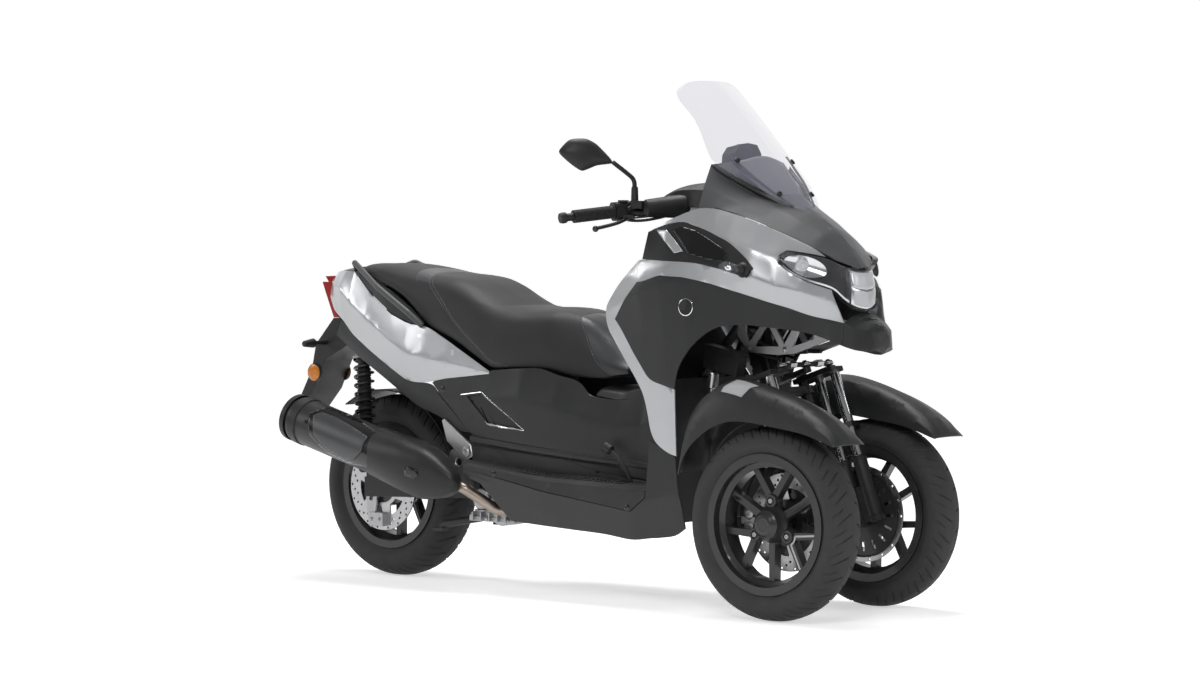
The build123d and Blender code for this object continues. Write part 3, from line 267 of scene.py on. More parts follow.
def carried(node):
    """A CAD node's own shape, welded, with its flat faces joined."""
    bm = bmesh.new()
    bm.from_mesh(frame["nodes"][node].data)
    bmesh.ops.remove_doubles(bm, verts=bm.verts, dist=0.00002)
    bmesh.ops.dissolve_limit(bm, angle_limit=math.radians(0.4), verts=bm.verts, edges=bm.edges)
    return bm


def rounded(node, mat, width=0.0015, sharp=34.0):
    """A CAD node with its edges rounded and its finish on."""
    return mount(node + "_look", carried(node), mat, frame["nodes"][node]["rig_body"], width, node, sharp=sharp)


def aim(origin, direction):
    """Placement in millimetres with its z along the direction."""
    turn = Vector(direction).to_track_quat("Z", "Y").to_matrix().to_4x4()
    return Matrix.Translation(Vector(origin) * MM) @ turn @ Matrix.Scale(MM, 4)


def lathe(bm, profile, place, sides=32):
    """Turned shape from (along, radius) points about the placement's z."""
    rings = []
    for along, radius in profile:
        if radius < 1e-6:
            rings.append([bm.verts.new(place @ Vector((0, 0, along)))])
            continue
        ring = []
        for i in range(sides):
            a = 2 * math.pi * i / sides
            ring.append(bm.verts.new(place @ Vector((radius * math.cos(a), radius * math.sin(a), along))))
        rings.append(ring)
    for low, high in zip(rings, rings[1:]):
        for i in range(sides):
            j = (i + 1) % sides
            corners = [low[i % len(low)], low[j % len(low)], high[j % len(high)], high[i % len(high)]]
            distinct = [v for k, v in enumerate(corners) if v not in corners[:k]]
            if len(distinct) > 2:
                bm.faces.new(distinct)


def rod(bm, start, end, radius, end_radius=None, sides=20, nose=1.0):
    """Round bar between two points with softened ends."""
    a, b = Vector(start), Vector(end)
    tip = radius if end_radius is None else end_radius
    length = (b - a).length
    profile = [(0, 0), (0, radius - nose), (nose, radius), (length - nose, tip), (length, tip - nose),
               (length, 0)]
    lathe(bm, profile, aim(a, b - a), sides)


def bolt(bm, point, direction, size=5.0, height=4.0):
    """Flanged hexagon bolt head that stands on a surface."""
    place = aim(point, direction)
    lathe(bm, [(-0.5, size * 1.35), (0.8, size * 1.35), (1.1, size * 1.2), (1.1, 0)], place, 24)
    lathe(bm, [(0.8, size), (height, size), (height + 0.6, size * 0.8), (height + 0.6, 0)], place, 6)


def slab(bm, centre, size, turn=None):
    """Box of that size in millimetres about a centre."""
    place = Matrix.Translation(Vector(centre) * MM) @ (turn.to_4x4() if turn else Matrix())
    scale = Matrix.Diagonal((size[0] * MM, size[1] * MM, size[2] * MM, 1))
    bmesh.ops.create_cube(bm, size=1.0, matrix=place @ scale)


def hose(bm, points, radius, sides=3):
    """Bent tube along one smooth spline through the room between its points."""
    curve = bpy.data.curves.new("hose", "CURVE")
    curve.dimensions = "3D"
    curve.bevel_depth = radius * MM
    curve.bevel_resolution = sides
    curve.resolution_u = 8
    curve.use_fill_caps = True
    spline = curve.splines.new("NURBS")
    spline.points.add(len(points) - 1)
    for control, point in zip(spline.points, points):
        control.co = (*(Vector(point) * MM), 1)
    spline.order_u = 3
    spline.use_endpoint_u = True
    holder = bpy.data.objects.new("hose", curve)
    mesh = bpy.data.meshes.new_from_object(holder)
    bm.from_mesh(mesh)
    bpy.data.objects.remove(holder)
    bpy.data.curves.remove(curve)
    bpy.data.meshes.remove(mesh)


powder = finish("black powder coat", (0.014, 0.014, 0.015), 0.42, amount=0.2, dust=0.12, grain=0.2,
                grain_scale=500)
alloy = finish(
    "cast alloy", (0.42, 0.42, 0.43), 0.42, metal=0.9, scale=12, amount=0.12, dust=0.15, grain=0.4,
    grain_scale=420
)
steel = finish("turned steel", (0.46, 0.46, 0.47), 0.3, metal=1.0, scale=40, amount=0.08, dust=0.05)
rubber_hose = finish("hose rubber", (0.012, 0.012, 0.013), 0.55, scale=30, amount=0.2, dust=0.1)

rounded("frame", powder)
rounded("lean_linkage", powder, 0.003)
rounded("front_truss", alloy, 0.0015)

boxes = bmesh.new()
tanks = bmesh.new()
for side in (-1, 1):
    slab(boxes, (596, side * 108, 686), (118, 40, 58), Matrix.Rotation(0.2, 3, "Y"))
    slab(boxes, (600, side * 108, 719), (124, 44, 7), Matrix.Rotation(0.2, 3, "Y"))
    bolt(boxes, (584, side * 128, 668), (0, side, 0), 4, 3)
    rod(tanks, (566, side * 128, 612), (572, side * 128, 656), 15, 15, nose=3)
    rod(tanks, (563, side * 128, 590), (566, side * 128, 612), 8, 8)
mount("front_boxes", boxes, powder, "chassis", 0.002)
mount("front_dampers", tanks, steel, "chassis")

truss_bolts = bmesh.new()
for side in (-1, 1):
    for x, z in ((622, 802), (905, 775), (765, 722), (640, 722), (700, 806)):
        bolt(truss_bolts, (x, side * 60, z), (0, side, 0), 5.5, 4.0)
mount("truss_bolts", truss_bolts, steel, "chassis")

loom = bmesh.new()
for side in (-1, 1):
    hose(loom, [(600, side * 48, 806), (640, side * 54, 756), (700, side * 50, 728), (770, side * 42, 712),
                (820, side * 32, 716)], 5.5)
    hose(loom, [(590, side * 42, 748), (640, side * 52, 716), (700, side * 46, 698), (735, side * 36, 694)],
         4.5)
    hose(loom, [(610, side * 40, 820), (680, side * 44, 834), (760, side * 38, 818), (820, side * 30, 790)],
         4.0)
mount("front_loom", loom, rubber_hose, "chassis")


# Engine unit: a cast crankcase and cylinder under the tub, the belt drive case on the left that carries
# the rear wheel, and the steel arm on the right. Bare cast alloy with machined covers.
rounded("engine_block", alloy, 0.006)
rounded("drive_case", alloy, 0.006)
rounded("swing_arm", powder, 0.003)

covers = bmesh.new()
clutch = aim((-215, -80, 352), (0, -1, 0))
lathe(covers, [(-1, 62), (6, 62), (9, 58), (10, 50), (14, 48), (15, 22), (19, 20), (20, 0)], clutch, 48)
for i in range(6):
    a = math.radians(60 * i + 20)
    bolt(covers, (-215 + 54 * math.cos(a), -89, 352 + 54 * math.sin(a)), (0, -1, 0), 4.5, 4)
for i in range(5):
    slab(covers, (-40 + 26 * i, 0, 355), (4, 148, 118))
pump = aim((-150, -80, 318), (0, -1, 0))
lathe(covers, [(-1, 26), (12, 26), (15, 22), (24, 20), (26, 14), (26, 0)], pump, 32)
for x, z in ((-275, 300), (-275, 420), (-160, 420), (-140, 300)):
    bolt(covers, (x, -80, z), (0, -1, 0), 5, 4)
case = aim((-732, 150, 276), (0, 1, 0))
lathe(covers, [(-1, 52), (4, 52), (7, 48), (8, 30), (12, 28), (12, 0)], case, 40)
front_case = aim((-300, 150, 330), (0, 1, 0))
lathe(covers, [(-1, 66), (5, 66), (8, 61), (9, 40), (6, 38), (6, 14), (12, 12), (12, 0)], front_case, 48)
for i in range(7):
    slab(covers, (-640 + 40 * i, 151, 318 + 4 * i), (6, 5, 66 + 4 * i))
for x, z in ((-790, 262), (-600, 400), (-440, 404), (-420, 250), (-610, 244), (-320, 420)):
    bolt(covers, (x, 150, z), (0, 1, 0), 5, 4)
mount("engine_covers", covers, alloy, "chassis", 0.0012)


# Wheels: treaded rubber tyres on cast rims with three pairs of spokes and three single ones, three
# bolts and a cap at the hub, and drilled brake discs. Black enamel; the silver line along one spoke pair is a
# painted highlight.
rubber = finish("tyre rubber", (0.033, 0.033, 0.034), 0.72, scale=20, amount=0.16, dust=0.1, grain=0.25)
enamel = finish("black wheel enamel", (0.012, 0.012, 0.013), 0.33, amount=0.15, dust=0.12, coat=0.3)
# Silver paint for nuts, peg brackets and caliper; on the wheels it also draws a painted highlight along one
# spoke pair.
silver_paint_and_spoke_highlight = finish("silver wheel lining", (0.42, 0.42, 0.43), 0.35, metal=0.8, scale=30, amount=0.06)
BEAD_R = 178.0
FLANGE_LINE = BEAD_R + 15.0
WHEELS = (
    # name, body, centre, outward side, radius, width, rim width, disc plane outward
    ("right", "wheel_front_right", (863, -235, 262), -1, 262.0, 120.0, 104.0, -61.0),
    ("left", "wheel_front_left", (863, 235, 262), 1, 262.0, 120.0, 104.0, -61.0),
    ("rear", "wheel_rear", (-732, 0, 276), -1, 276.0, 140.0, 120.0, 82.0),
)


def eased(keys, values, at):
    """Value at a place between keyed ones, along a curve that never overshoots them."""
    keys, values = np.asarray(keys, float), np.asarray(values, float)
    slopes = np.diff(values, axis=0) / np.diff(keys).reshape([-1] + [1] * (values.ndim - 1))
    inner = np.where(slopes[1:] * slopes[:-1] > 0,
                     2 * slopes[1:] * slopes[:-1] / (slopes[1:] + slopes[:-1] + 1e-12), 0)
    tangents = np.concatenate([slopes[:1], inner, slopes[-1:]])
    at = min(max(at, keys[0]), keys[-1])
    i = min(int(np.searchsorted(keys, at, side="right")) - 1, len(keys) - 2)
    span = keys[i + 1] - keys[i]
    t = (at - keys[i]) / span
    return (
        (2 * t**3 - 3 * t**2 + 1) * values[i]
        + (t**3 - 2 * t**2 + t) * span * tangents[i]
        + (3 * t**2 - 2 * t**3) * values[i + 1]
        + (t**3 - t**2) * span * tangents[i + 1]
    )


def weave(bm, rows, closed=False, looped=False):
    """Sheet of quads between rows of points in metres; closed joins each row's ends, looped the rows'."""
    laid = [[bm.verts.new(p) for p in row] for row in rows]
    if looped:
        laid.append(laid[0])
    count = len(laid[0])
    for a, b in zip(laid, laid[1:]):
        for i in range(count if closed else count - 1):
            j = (i + 1) % count
            bm.faces.new((a[i], a[j], b[j], b[i]))
    return laid


def treaded_tyre(radius, width, rim_width, pitches):
    """Tyre about the origin with its axis on y: curved grooves, long and short in turn on each side."""
    half, depth = width / 2, radius - BEAD_R
    seat = rim_width / 2 - 9.3
    keys = [0, half * 0.36, half * 0.72, half * 0.96, half * 1.12, half * 1.5, half * 1.72]
    wide = [0, half * 0.36, half * 0.72, half * 0.96, half, seat + 3.0, seat]
    high = [radius, radius - depth * 0.035, radius - depth * 0.16, radius - depth * 0.38, radius - depth * 0.55,
            BEAD_R + 13.0, BEAD_R + 0.3]
    tread_end = half * 0.98
    steps = ([i * tread_end / 22 for i in range(23)]
             + [tread_end + (keys[-1] - tread_end) * i / 14 for i in range(1, 15)])
    columns = [0.0, 0.1, 0.195, 0.225, 0.275, 0.305, 0.4, 0.5, 0.6, 0.695, 0.725, 0.775, 0.805, 0.9]
    grooves = {0.225: 0, 0.275: 0, 0.725: 1, 0.775: 1}
    reach = ((0.14 * half, 0.84 * half), (0.52 * half, 0.95 * half))
    rows = []
    for side in (-1, 1):
        order = steps[::-1] if side < 0 else steps[1:]
        for step in order:
            w, r = eased(keys, wide, step), eased(keys, high, step)
            if tread_end < step:
                for low, high_r, rise in ((FLANGE_LINE - 2, FLANGE_LINE + 3, 1.2),
                                          (FLANGE_LINE + 12, FLANGE_LINE + 14, 0.5)):
                    if low < r < high_r:
                        w += rise
            swing = 0.17 * (min(step, tread_end) / half) ** 1.7
            row = []
            for pitch in range(pitches):
                for column in columns:
                    angle = (pitch + column) * 2 * math.pi / pitches + swing
                    cut = 0.0
                    kind = grooves.get(column)
                    if kind is not None:
                        start, end = reach[kind if side > 0 else 1 - kind]
                        fade = min(step - start, end - step) / 3.0
                        cut = 3.6 * min(max(fade, 0.0), 1.0)
                    level = (r - cut) * MM
                    row.append(Vector((level * math.cos(angle), side * w * MM, level * math.sin(angle))))
            rows.append(row)
    bm = bmesh.new()
    weave(bm, rows, closed=True, looped=True)
    return bm


def facing(point, side):
    """Placement in millimetres with x forward, y up and z out to one side."""
    turn = Matrix(((1, 0, 0, 0), (0, 0, side, 0), (0, 1, 0, 0), (0, 0, 0, 1)))
    return Matrix.Translation(Vector(point) * MM) @ turn @ Matrix.Scale(MM, 4)


def strip(points, width):
    """Closed outline round a line of 2-D points, half a width to each side."""
    left, right = [], []
    for i, (x, y) in enumerate(points):
        a, b = points[max(i - 1, 0)], points[min(i + 1, len(points) - 1)]
        dx, dy = b[0] - a[0], b[1] - a[1]
        length = math.hypot(dx, dy)
        nx, ny = -dy / length * width / 2, dx / length * width / 2
        left.append((x + nx, y + ny))
        right.append((x - nx, y - ny))
    return left + right[::-1]


def plate(bm, outlines, thickness, place, bevel=0.4):
    """Flat sheet with holes from closed outlines in millimetres, outer one first."""
    curve = bpy.data.curves.new("plate", "CURVE")
    curve.dimensions = "2D"
    curve.fill_mode = "BOTH"
    curve.extrude = thickness / 2 - bevel
    curve.bevel_depth = bevel
    curve.bevel_resolution = 0
    curve.offset = -bevel
    for outline in outlines:
        spline = curve.splines.new("POLY")
        spline.points.add(len(outline) - 1)
        for control, (x, y) in zip(spline.points, outline):
            control.co = (x, y, 0, 1)
        spline.use_cyclic_u = True
    holder = bpy.data.objects.new("plate", curve)
    mesh = bpy.data.meshes.new_from_object(holder)
    mesh.transform(place)
    bm.from_mesh(mesh)
    bpy.data.objects.remove(holder)
    bpy.data.curves.remove(curve)
    bpy.data.meshes.remove(mesh)


def circle(radius, x=0.0, y=0.0, sides=24, start=0.0, end=360.0):
    """Points round a circle or an arc of it."""
    full = end - start >= 360
    count = sides if full else sides + 1
    points = []
    for i in range(count):
        a = math.radians(start + (end - start) * i / sides)
        points.append((x + radius * math.cos(a), y + radius * math.sin(a)))
    return points


def drilled_disc(bm, place):
    """Brake rotor: three rows of drillings and six windows between its carrier arms."""
    outlines = [circle(133.5, sides=96), circle(50.0, sides=48)]
    for i in range(18):
        for row, radius in enumerate((127.0, 117.0, 107.0)):
            a = math.radians(20 * i + 7 * row)
            outlines.append(circle(3.6, radius * math.cos(a), radius * math.sin(a), 10))
    for i in range(6):
        mid = 60 * i + 12
        window = circle(92.0, sides=10, start=mid - 21, end=mid + 21)
        window += circle(62.0, sides=8, start=mid - 13, end=mid + 13)[::-1]
        outlines.append(window)
    plate(bm, outlines, 4.5, place, 0.3)


for name, body, centre, side, radius, width, rim_width, disc_out in WHEELS:
    outward = facing(centre, side)
    tyre = treaded_tyre(radius, width, rim_width, 28 if name != "rear" else 26)
    bmesh.ops.transform(tyre, verts=tyre.verts, matrix=Matrix.Translation(Vector(centre) * MM)
                        @ Matrix.Diagonal((side, side, 1, 1)))
    mount(f"tread_{name}", tyre, rubber, body, replaces=f"tyre_{name}", sharp=50)
    rounded(f"rim_{name}", enamel, 0.0022)
    rotor = bmesh.new()
    drilled_disc(rotor, outward @ Matrix.Translation((0, 0, disc_out)))
    mount(f"rotor_{name}", rotor, steel, body, replaces=f"disc_{name}")
    hub_out = 42.0 if name != "rear" else 50.0
    hub = bmesh.new()
    lathe(hub, [(hub_out - 6, 40), (hub_out + 1, 38.5), (hub_out + 4, 33), (hub_out + 13, 27.5),
                (hub_out + 14.5, 25), (hub_out + 14.5, 17), (hub_out + 13.2, 16), (hub_out + 13.2, 0)],
                outward, 48)
    lathe(hub, [(13, 52), (19, 49), (26, 42), (hub_out - 6, 40)], outward, 48)
    nuts_and_spoke_highlight = bmesh.new()
    for lobe in range(3):
        a = math.radians(90 + 120 * lobe)
        spot = outward @ Matrix.Translation((62 * math.cos(a), 62 * math.sin(a), 0))
        lathe(hub, [(12, 20), (19, 18.5), (21, 17), (21, 11.5), (16, 10.5), (16, 0)], spot, 32)
        lathe(nuts_and_spoke_highlight, [(15, 8), (21, 8), (23, 6.5), (23, 4), (20.5, 3.6), (20.5, 0)], spot, 6)
    # Silver strip along the spoke pair at 330 degrees: a painted highlight where light catches the spokes.
    boss = (62 * math.cos(math.radians(330)), 62 * math.sin(math.radians(330)))
    lines = []
    for turn in (-1, 1):
        a = math.radians(330 + turn * 21)
        tip = (150 * math.cos(a), 150 * math.sin(a))
        root = (boss[0] + (tip[0] - boss[0]) * 0.27, boss[1] + (tip[1] - boss[1]) * 0.27)
        lines.append((root, tip))
    bend = circle(23.0, boss[0], boss[1], 8, 330 - 34, 330 + 34)
    plate(nuts_and_spoke_highlight, [strip([lines[0][1], lines[0][0]] + bend + [lines[1][0], lines[1][1]], 5.5)], 1.6,
          outward @ Matrix.Translation((0, 0, 14.6)), 0.4)
    a = math.radians(152)
    valve = outward @ Matrix.Translation((154 * math.cos(a), 154 * math.sin(a), 4))
    lean_in = valve @ Matrix.Rotation(math.radians(-58), 4, Vector((-math.sin(a), math.cos(a), 0)))
    lathe(hub, [(-8, 5.5), (6, 4.6), (24, 4.2), (24, 3.4), (34, 3.4), (35, 2.6), (35, 0)], lean_in, 12)
    mount(f"hub_{name}", hub, enamel, body, 0.0008)
    mount(f"wheel_nuts_and_highlight_{name}", nuts_and_spoke_highlight, silver_paint_and_spoke_highlight, body)


# Front forks: two legs each, inboard of the wheel, with chromed tubes between casting and yokes, a brake
# caliper behind the axle and a slotted black cover over the disc's inner face.
chrome = finish("chrome", (0.72, 0.73, 0.75), 0.1, metal=1.0, scale=14, amount=0.05, dust=0.02)
LEAN = math.radians(20)


def steer_place(y):
    """Placement on the steering axis at wheel height: x ahead, z up the axis."""
    turn = Matrix(((math.cos(LEAN), 0, -math.sin(LEAN)), (0, 1, 0), (math.sin(LEAN), 0, math.cos(LEAN))))
    return Matrix.Translation(Vector((835.64, y, 262)) * MM) @ turn.to_4x4() @ Matrix.Scale(MM, 4)


for side, name in ((-1, "right"), (1, "left")):
    body = f"fork_{name}"
    rounded(f"fork_{name}", powder, 0.002)
    knee = steer_place(side * 108)
    tubes = bmesh.new()
    seals = bmesh.new()
    for ahead in (82.1, 27.6):
        leg = knee @ Matrix.Translation((ahead, side * 41, 0))
        for low, high in ((140.0, 226.0), (240.0, 385.6)):
            lathe(tubes, [(low, 13.9), (low, 14.5), (high, 14.5), (high, 13.9)], leg, 32)
        lathe(seals, [(128, 20), (132, 21.5), (140, 21.5), (143, 19), (144, 15)], leg, 32)
        lathe(seals, [(-45, 21), (-30, 21.5), (-28, 20)], leg, 32)
    mount(f"fork_tubes_{name}", tubes, chrome, body)
    lathe(seals, [(398, 0), (398, 17), (404, 17), (406, 14), (406, 0)], knee @ Matrix.Translation((0, 0, 4)), 6)
    mount(f"fork_seals_{name}", seals, rubber_hose, body)
    inner = facing((863, side * 170.2, 262), side)
    guard = bmesh.new()
    outlines = [circle(121, sides=48, start=-122, end=122) + circle(26, sides=24, start=-122, end=122)[::-1]]
    for i in range(9):
        a = math.radians(-88 + 22 * i)
        outlines.append(strip([(78 * math.cos(a), 78 * math.sin(a)), (104 * math.cos(a), 104 * math.sin(a))],
                              8))
    plate(guard, outlines, 1.4, inner, 0.2)
    lathe(guard, [(0.4, 118), (-7, 120.5), (-7.6, 118.5), (-0.4, 116)], inner, 64)
    mount(f"disc_guard_{name}", guard, enamel, body)
    grip_half = bmesh.new()
    for dz in (-19, 19):
        piston = aim((749, side * 196, 262 + dz), (0, side, 0))
        lathe(grip_half, [(-1, 17), (7, 16), (9, 13), (9, 5), (7, 4), (7, 0)], piston, 28)
    slab(grip_half, (749, side * 198, 262), (52, 6, 20))
    for dz in (-32, 32):
        bolt(grip_half, (740, side * 196, 262 + dz), (0, side, 0), 4.5, 4)
    rod(grip_half, (722, side * 186, 290), (716, side * 186, 296), 4)
    mount(f"caliper_{name}", grip_half, alloy, body, 0.001)
    line = bmesh.new()
    hose(line, [(722, side * 178, 290), (716, side * 170, 330), (742, side * 150, 400), (770, side * 130, 470),
                (770, side * 128, 540), (752, side * 124, 590)], 3.4)
    mount(f"brake_line_{name}", line, rubber_hose, body)

rounded("track_rod", powder, 0.002)
joints_bm = bmesh.new()
for y in (-108, 0, 108):
    stud = steer_place(y) @ Matrix.Translation((100, 0, 0))
    lathe(joints_bm, [(403.5, 9), (405, 14), (407, 14.6), (409, 12.5), (411, 14), (413, 12)], stud, 28)
for y in (-62, 62):
    collar = steer_place(y) @ Matrix.Translation((100, 0, 410)) @ Matrix.Rotation(math.radians(90), 4, "X")
    lathe(joints_bm, [(-14, 0), (-14, 10.5), (14, 10.5), (14, 0)], collar, 6)
mount("rod_joints", joints_bm, steel, "track_rod")


# Front fenders: moulded hoods in unpainted dark grey plastic, one on each fork. The pale sheet on each
# crown is a painted highlight where the overhead light falls.
dark = finish("dark grey plastic", (0.021, 0.0215, 0.0225), 0.44, amount=0.08, dust=0.05, grain=0.18)
black = finish("black plastic", (0.013, 0.013, 0.014), 0.5, amount=0.15, dust=0.08, grain=0.3, grain_scale=700)
# Painted highlight: a pale film laid on each fender's crown where the overhead light falls.
painted_crown_highlight = finish("pale film", (0.42, 0.43, 0.44), 0.4, amount=0.05, dust=0.03)
trees = {}


def landed(node, start, direction, proud):
    """Point in millimetres where a ray meets a CAD node from outside, lifted a little off it."""
    if node not in trees:
        bm = bmesh.new()
        bm.from_mesh(frame["nodes"][node].data)
        trees[node] = BVHTree.FromBMesh(bm)
        bm.free()
    hit, normal, _, _ = trees[node].ray_cast(Vector(start) * MM, Vector(direction))
    if hit is None:
        return None
    if normal.dot(Vector(direction)) > 0:
        normal = -normal
    return hit / MM + normal * proud


def thicken(obj, thickness, offset=0.0):
    """Gives a sheet its stock in metres: 0 to both sides, 1 outward, -1 inward."""
    stock = obj.modifiers.new("stock", "SOLIDIFY")
    stock.thickness = thickness
    stock.offset = offset


for side, name in ((-1, "right"), (1, "left")):
    rounded(f"fender_{name}", dark, 0.001, sharp=40)
    # Pale sheet over the crown: a painted highlight, landed on the fender from above.
    patch = bmesh.new()
    rows = []
    for i in range(13):
        row = []
        for j in range(13):
            near = Vector((735, -236, 643)).lerp(Vector((825, -256, 629)), i / 12)
            far = Vector((719, -285, 612)).lerp(Vector((795, -294, 600)), i / 12)
            spot = near.lerp(far, j / 12)
            spot = Vector((spot.x, -side * spot.y, spot.z)) + Vector((0, side * 60, 104))
            row.append(landed(f"fender_{name}", spot, Vector((0, -side * 0.5, -0.866)), 1.0) * MM)
        rows.append(row)
    weave(patch, rows)
    thicken(mount(f"fender_highlight_{name}", patch, painted_crown_highlight, f"fork_{name}"), 0.0004, 1)


# Handlebar on its stem under a moulded cover, with ribbed grips, switch housings, levers with ball ends,
# brake reservoirs and two mirrors. Black tube and plastic.
grip_rubber = finish("grip rubber", (0.016, 0.016, 0.017), 0.62, scale=30, amount=0.15, grain=0.4,
                     grain_scale=500)
red_button = finish("red button", (0.35, 0.02, 0.015), 0.4, scale=60, amount=0.1)
mirror_glass = finish("mirror glass", (0.8, 0.82, 0.84), 0.03, metal=1.0, scale=3, amount=0.02, dust=0.01)
rounded("handlebar", powder, 0.0015)
rounded("switchgear", black, 0.004)
GRIP_IN = Vector((319, 250, 1100))
GRIP_OUT = Vector((256, 386, 1083))
along = (GRIP_OUT - GRIP_IN).normalized()
grips = bmesh.new()
controls = bmesh.new()
buttons = bmesh.new()
cables = bmesh.new()
levers = bmesh.new()
for side in (-1, 1):
    flip = Vector((1, side, 1))
    axis = along * flip
    start = (GRIP_IN + along * 6) * flip
    profile = [(0, 11.2), (0, 21.5), (3.5, 21.5), (4.5, 17.2)]
    for i in range(26):
        s = 8 + i * 4.2
        profile += [(s, 16.8), (s + 1.0, 18.2), (s + 3.0, 18.2), (s + 4.0, 16.8)]
    profile += [(119, 18.2), (122, 18.2), (122, 11.2)]
    lathe(grips, profile, aim(start, axis), 36)
    weight = GRIP_OUT * flip
    lathe(controls, [(1.0, 14.6), (4, 15.4), (13, 15.4), (18.4, 12), (18.6, 0)], aim(weight, axis), 28)
    pod = (GRIP_IN - along * 18) * flip
    up = Vector((0.12, 0, 0.99)).normalized()
    slab(controls, pod + up * 27 + Vector((6, 0, 0)), (34, 24, 6), Matrix.Rotation(side * 1.1, 3, "Z"))
    slab(buttons, pod + up * 27 + Vector((-22, side * 8, -6)), (9, 13, 7), Matrix.Rotation(side * 1.1, 3, "Z"))
    slab(controls, pod + Vector((-26, side * 4, -6)), (8, 22, 12), Matrix.Rotation(side * 1.1, 3, "Z"))
    tank = (GRIP_IN - along * 44) * flip + Vector((30, 0, 20))
    slab(controls, tank - Vector((0, 0, 8)), (42, 32, 18), Matrix.Rotation(side * 1.1, 3, "Z"))
    slab(controls, tank + Vector((0, 0, 3)), (45, 35, 4), Matrix.Rotation(side * 1.1, 3, "Z"))
    rod(controls, (446, side * 84, 1118), (372, side * 196, 1108), 33, 25, sides=32, nose=11)
    hose(levers, [(352, side * 228, 1084), (354, side * 252, 1076), (344, side * 284, 1064),
                  (318, side * 330, 1053)], 5.2)
    bmesh.ops.create_uvsphere(levers, u_segments=24, v_segments=12, radius=9 * MM,
                              matrix=Matrix.Translation(Vector((317, side * 332, 1052)) * MM))
    slab(levers, (352, side * 230, 1085), (24, 30, 12), Matrix.Rotation(side * 1.1, 3, "Z"))
    rod(controls, tuple(tank - Vector((0, 0, 6))), tuple((GRIP_IN - along * 10) * flip + Vector((34, 0, 4))), 8)
    hose(cables, [tuple(tank + Vector((6, side * -8, -8))), tuple(tank + Vector((34, side * -26, -6))),
                  (440, side * 120, 1112), (452, side * 84, 1112)], 3.2)
    hose(cables, [tuple(pod + Vector((8, side * -12, -24))), tuple(pod + Vector((30, side * -26, -30))),
                  (404, side * 158, 1082), (428, side * 112, 1096)], 4.2)
    hose(cables, [tuple(pod + Vector((10, side * -14, -20))), tuple(pod + Vector((36, side * -22, -20))),
                  (412, side * 150, 1092), (436, side * 104, 1102)], 2.8)
mount("ribbed_grips", grips, grip_rubber, "steering", replaces="grips")
mount("lever_pair", levers, enamel, "steering", replaces="levers")
mount("controls", controls, black, "steering", 0.0015)
mount("switch_buttons", buttons, red_button, "steering", 0.001)
mount("control_cables", cables, rubber_hose, "steering")


# Mirrors: black moulded shells with a bright glass, each on a bent steel stem in a turned boot on the bar.
# The shell's outline is a rounded path through nine corners.
corners = [(103, 10), (70, 46), (24, 49), (-6, 34), (-42, -2), (-52, -19), (-6, -25), (35, -43), (68, -22)]
MIRROR = []
for i, here in enumerate(corners):
    before, after, beyond = corners[i - 1], corners[(i + 1) % 9], corners[(i + 2) % 9]
    for k in range(7):
        t = k / 7
        MIRROR.append(tuple(b + (c - b) * t + 0.08 * (a - b - c + d) * t * (t - 1)
                            for a, b, c, d in zip(before, here, after, beyond)))
for _ in range(2):
    MIRROR = [tuple((p + 2 * q + r) / 4 for p, q, r in zip(before, here, after))
              for before, here, after in zip(MIRROR[-1:] + MIRROR[:-1], MIRROR, MIRROR[1:] + MIRROR[:1])]
housings = bmesh.new()
glasses = bmesh.new()
for side in (-1, 1):
    flip = Vector((1, side, 1))
    z_dir = Vector((0.75, 0.62, 0.1)).normalized()
    x_dir = Vector((-0.62, 0.78, 0.02))
    x_dir = (x_dir - z_dir * x_dir.dot(z_dir)).normalized()
    y_dir = z_dir.cross(x_dir)
    origin = Vector((309.5, 327.8, 1251.6))
    rows = []
    for depth, scale in ((-1.0, 0.93), (0.0, 0.985), (3.0, 1.0), (9.0, 0.97), (15.0, 0.86), (20.0, 0.66),
                         (23.0, 0.4), (24.0, 0.18), (24.3, 0.02)):
        row = []
        for u, v in MIRROR:
            u, v = 28 + (u - 28) * scale, 5 + (v - 5) * scale
            row.append((origin + x_dir * u + y_dir * v + z_dir * depth) * flip * MM)
        rows.append(row)
    laid = weave(housings, rows, closed=True)
    housings.faces.new(laid[-1])
    housings.faces.new(laid[0])
    pane = [p / MM for p in rows[0]]
    middle = sum(pane, Vector()) / len(pane)
    back = -(z_dir * flip)
    weave(glasses, [[(middle + (p - middle) * k + back * d) * MM for p in pane]
                    for k, d in ((0.955, 0.1), (0.95, 0.9), (0.6, 1.2), (0.02, 1.3))], closed=True)
    base = Vector((360, 214, 1112)) * flip
    hose(housings, [tuple(base), tuple(Vector((360, 215, 1160)) * flip), tuple(Vector((361, 216, 1188)) * flip),
                    tuple(Vector((356, 238, 1204)) * flip), tuple(Vector((341.5, 285.8, 1235.6)) * flip)], 6.4)
    lathe(housings, [(-4, 0), (-4, 13), (12, 12), (16, 10.5), (52, 9.5), (56, 8.5), (58, 6.4)],
          aim(tuple(base), (0, 0, 1)), 28)
mount("mirror_housings", housings, black, "steering", replaces="mirrors")
mount("mirror_glasses", glasses, mirror_glass, "steering")


# Front bodywork: silver painted upper fairings and leg strips, dark grey lower fairings and nose, mid grey
# cowl, black intake panels. Thin moulded plastic, clipped edge to edge with narrow gaps.
paint = finish(
    "silver paint", (0.44, 0.45, 0.465), 0.3, metal=0.5, scale=5, amount=0.03, dust=0.03, coat=0.6, grain=0.05,
    grain_scale=2600
)
grey = finish("mid grey plastic", (0.07, 0.071, 0.074), 0.42, amount=0.06, grain=0.15)
gloss = finish("gloss black", (0.008, 0.008, 0.009), 0.2, amount=0.1, dust=0.04, coat=0.3)


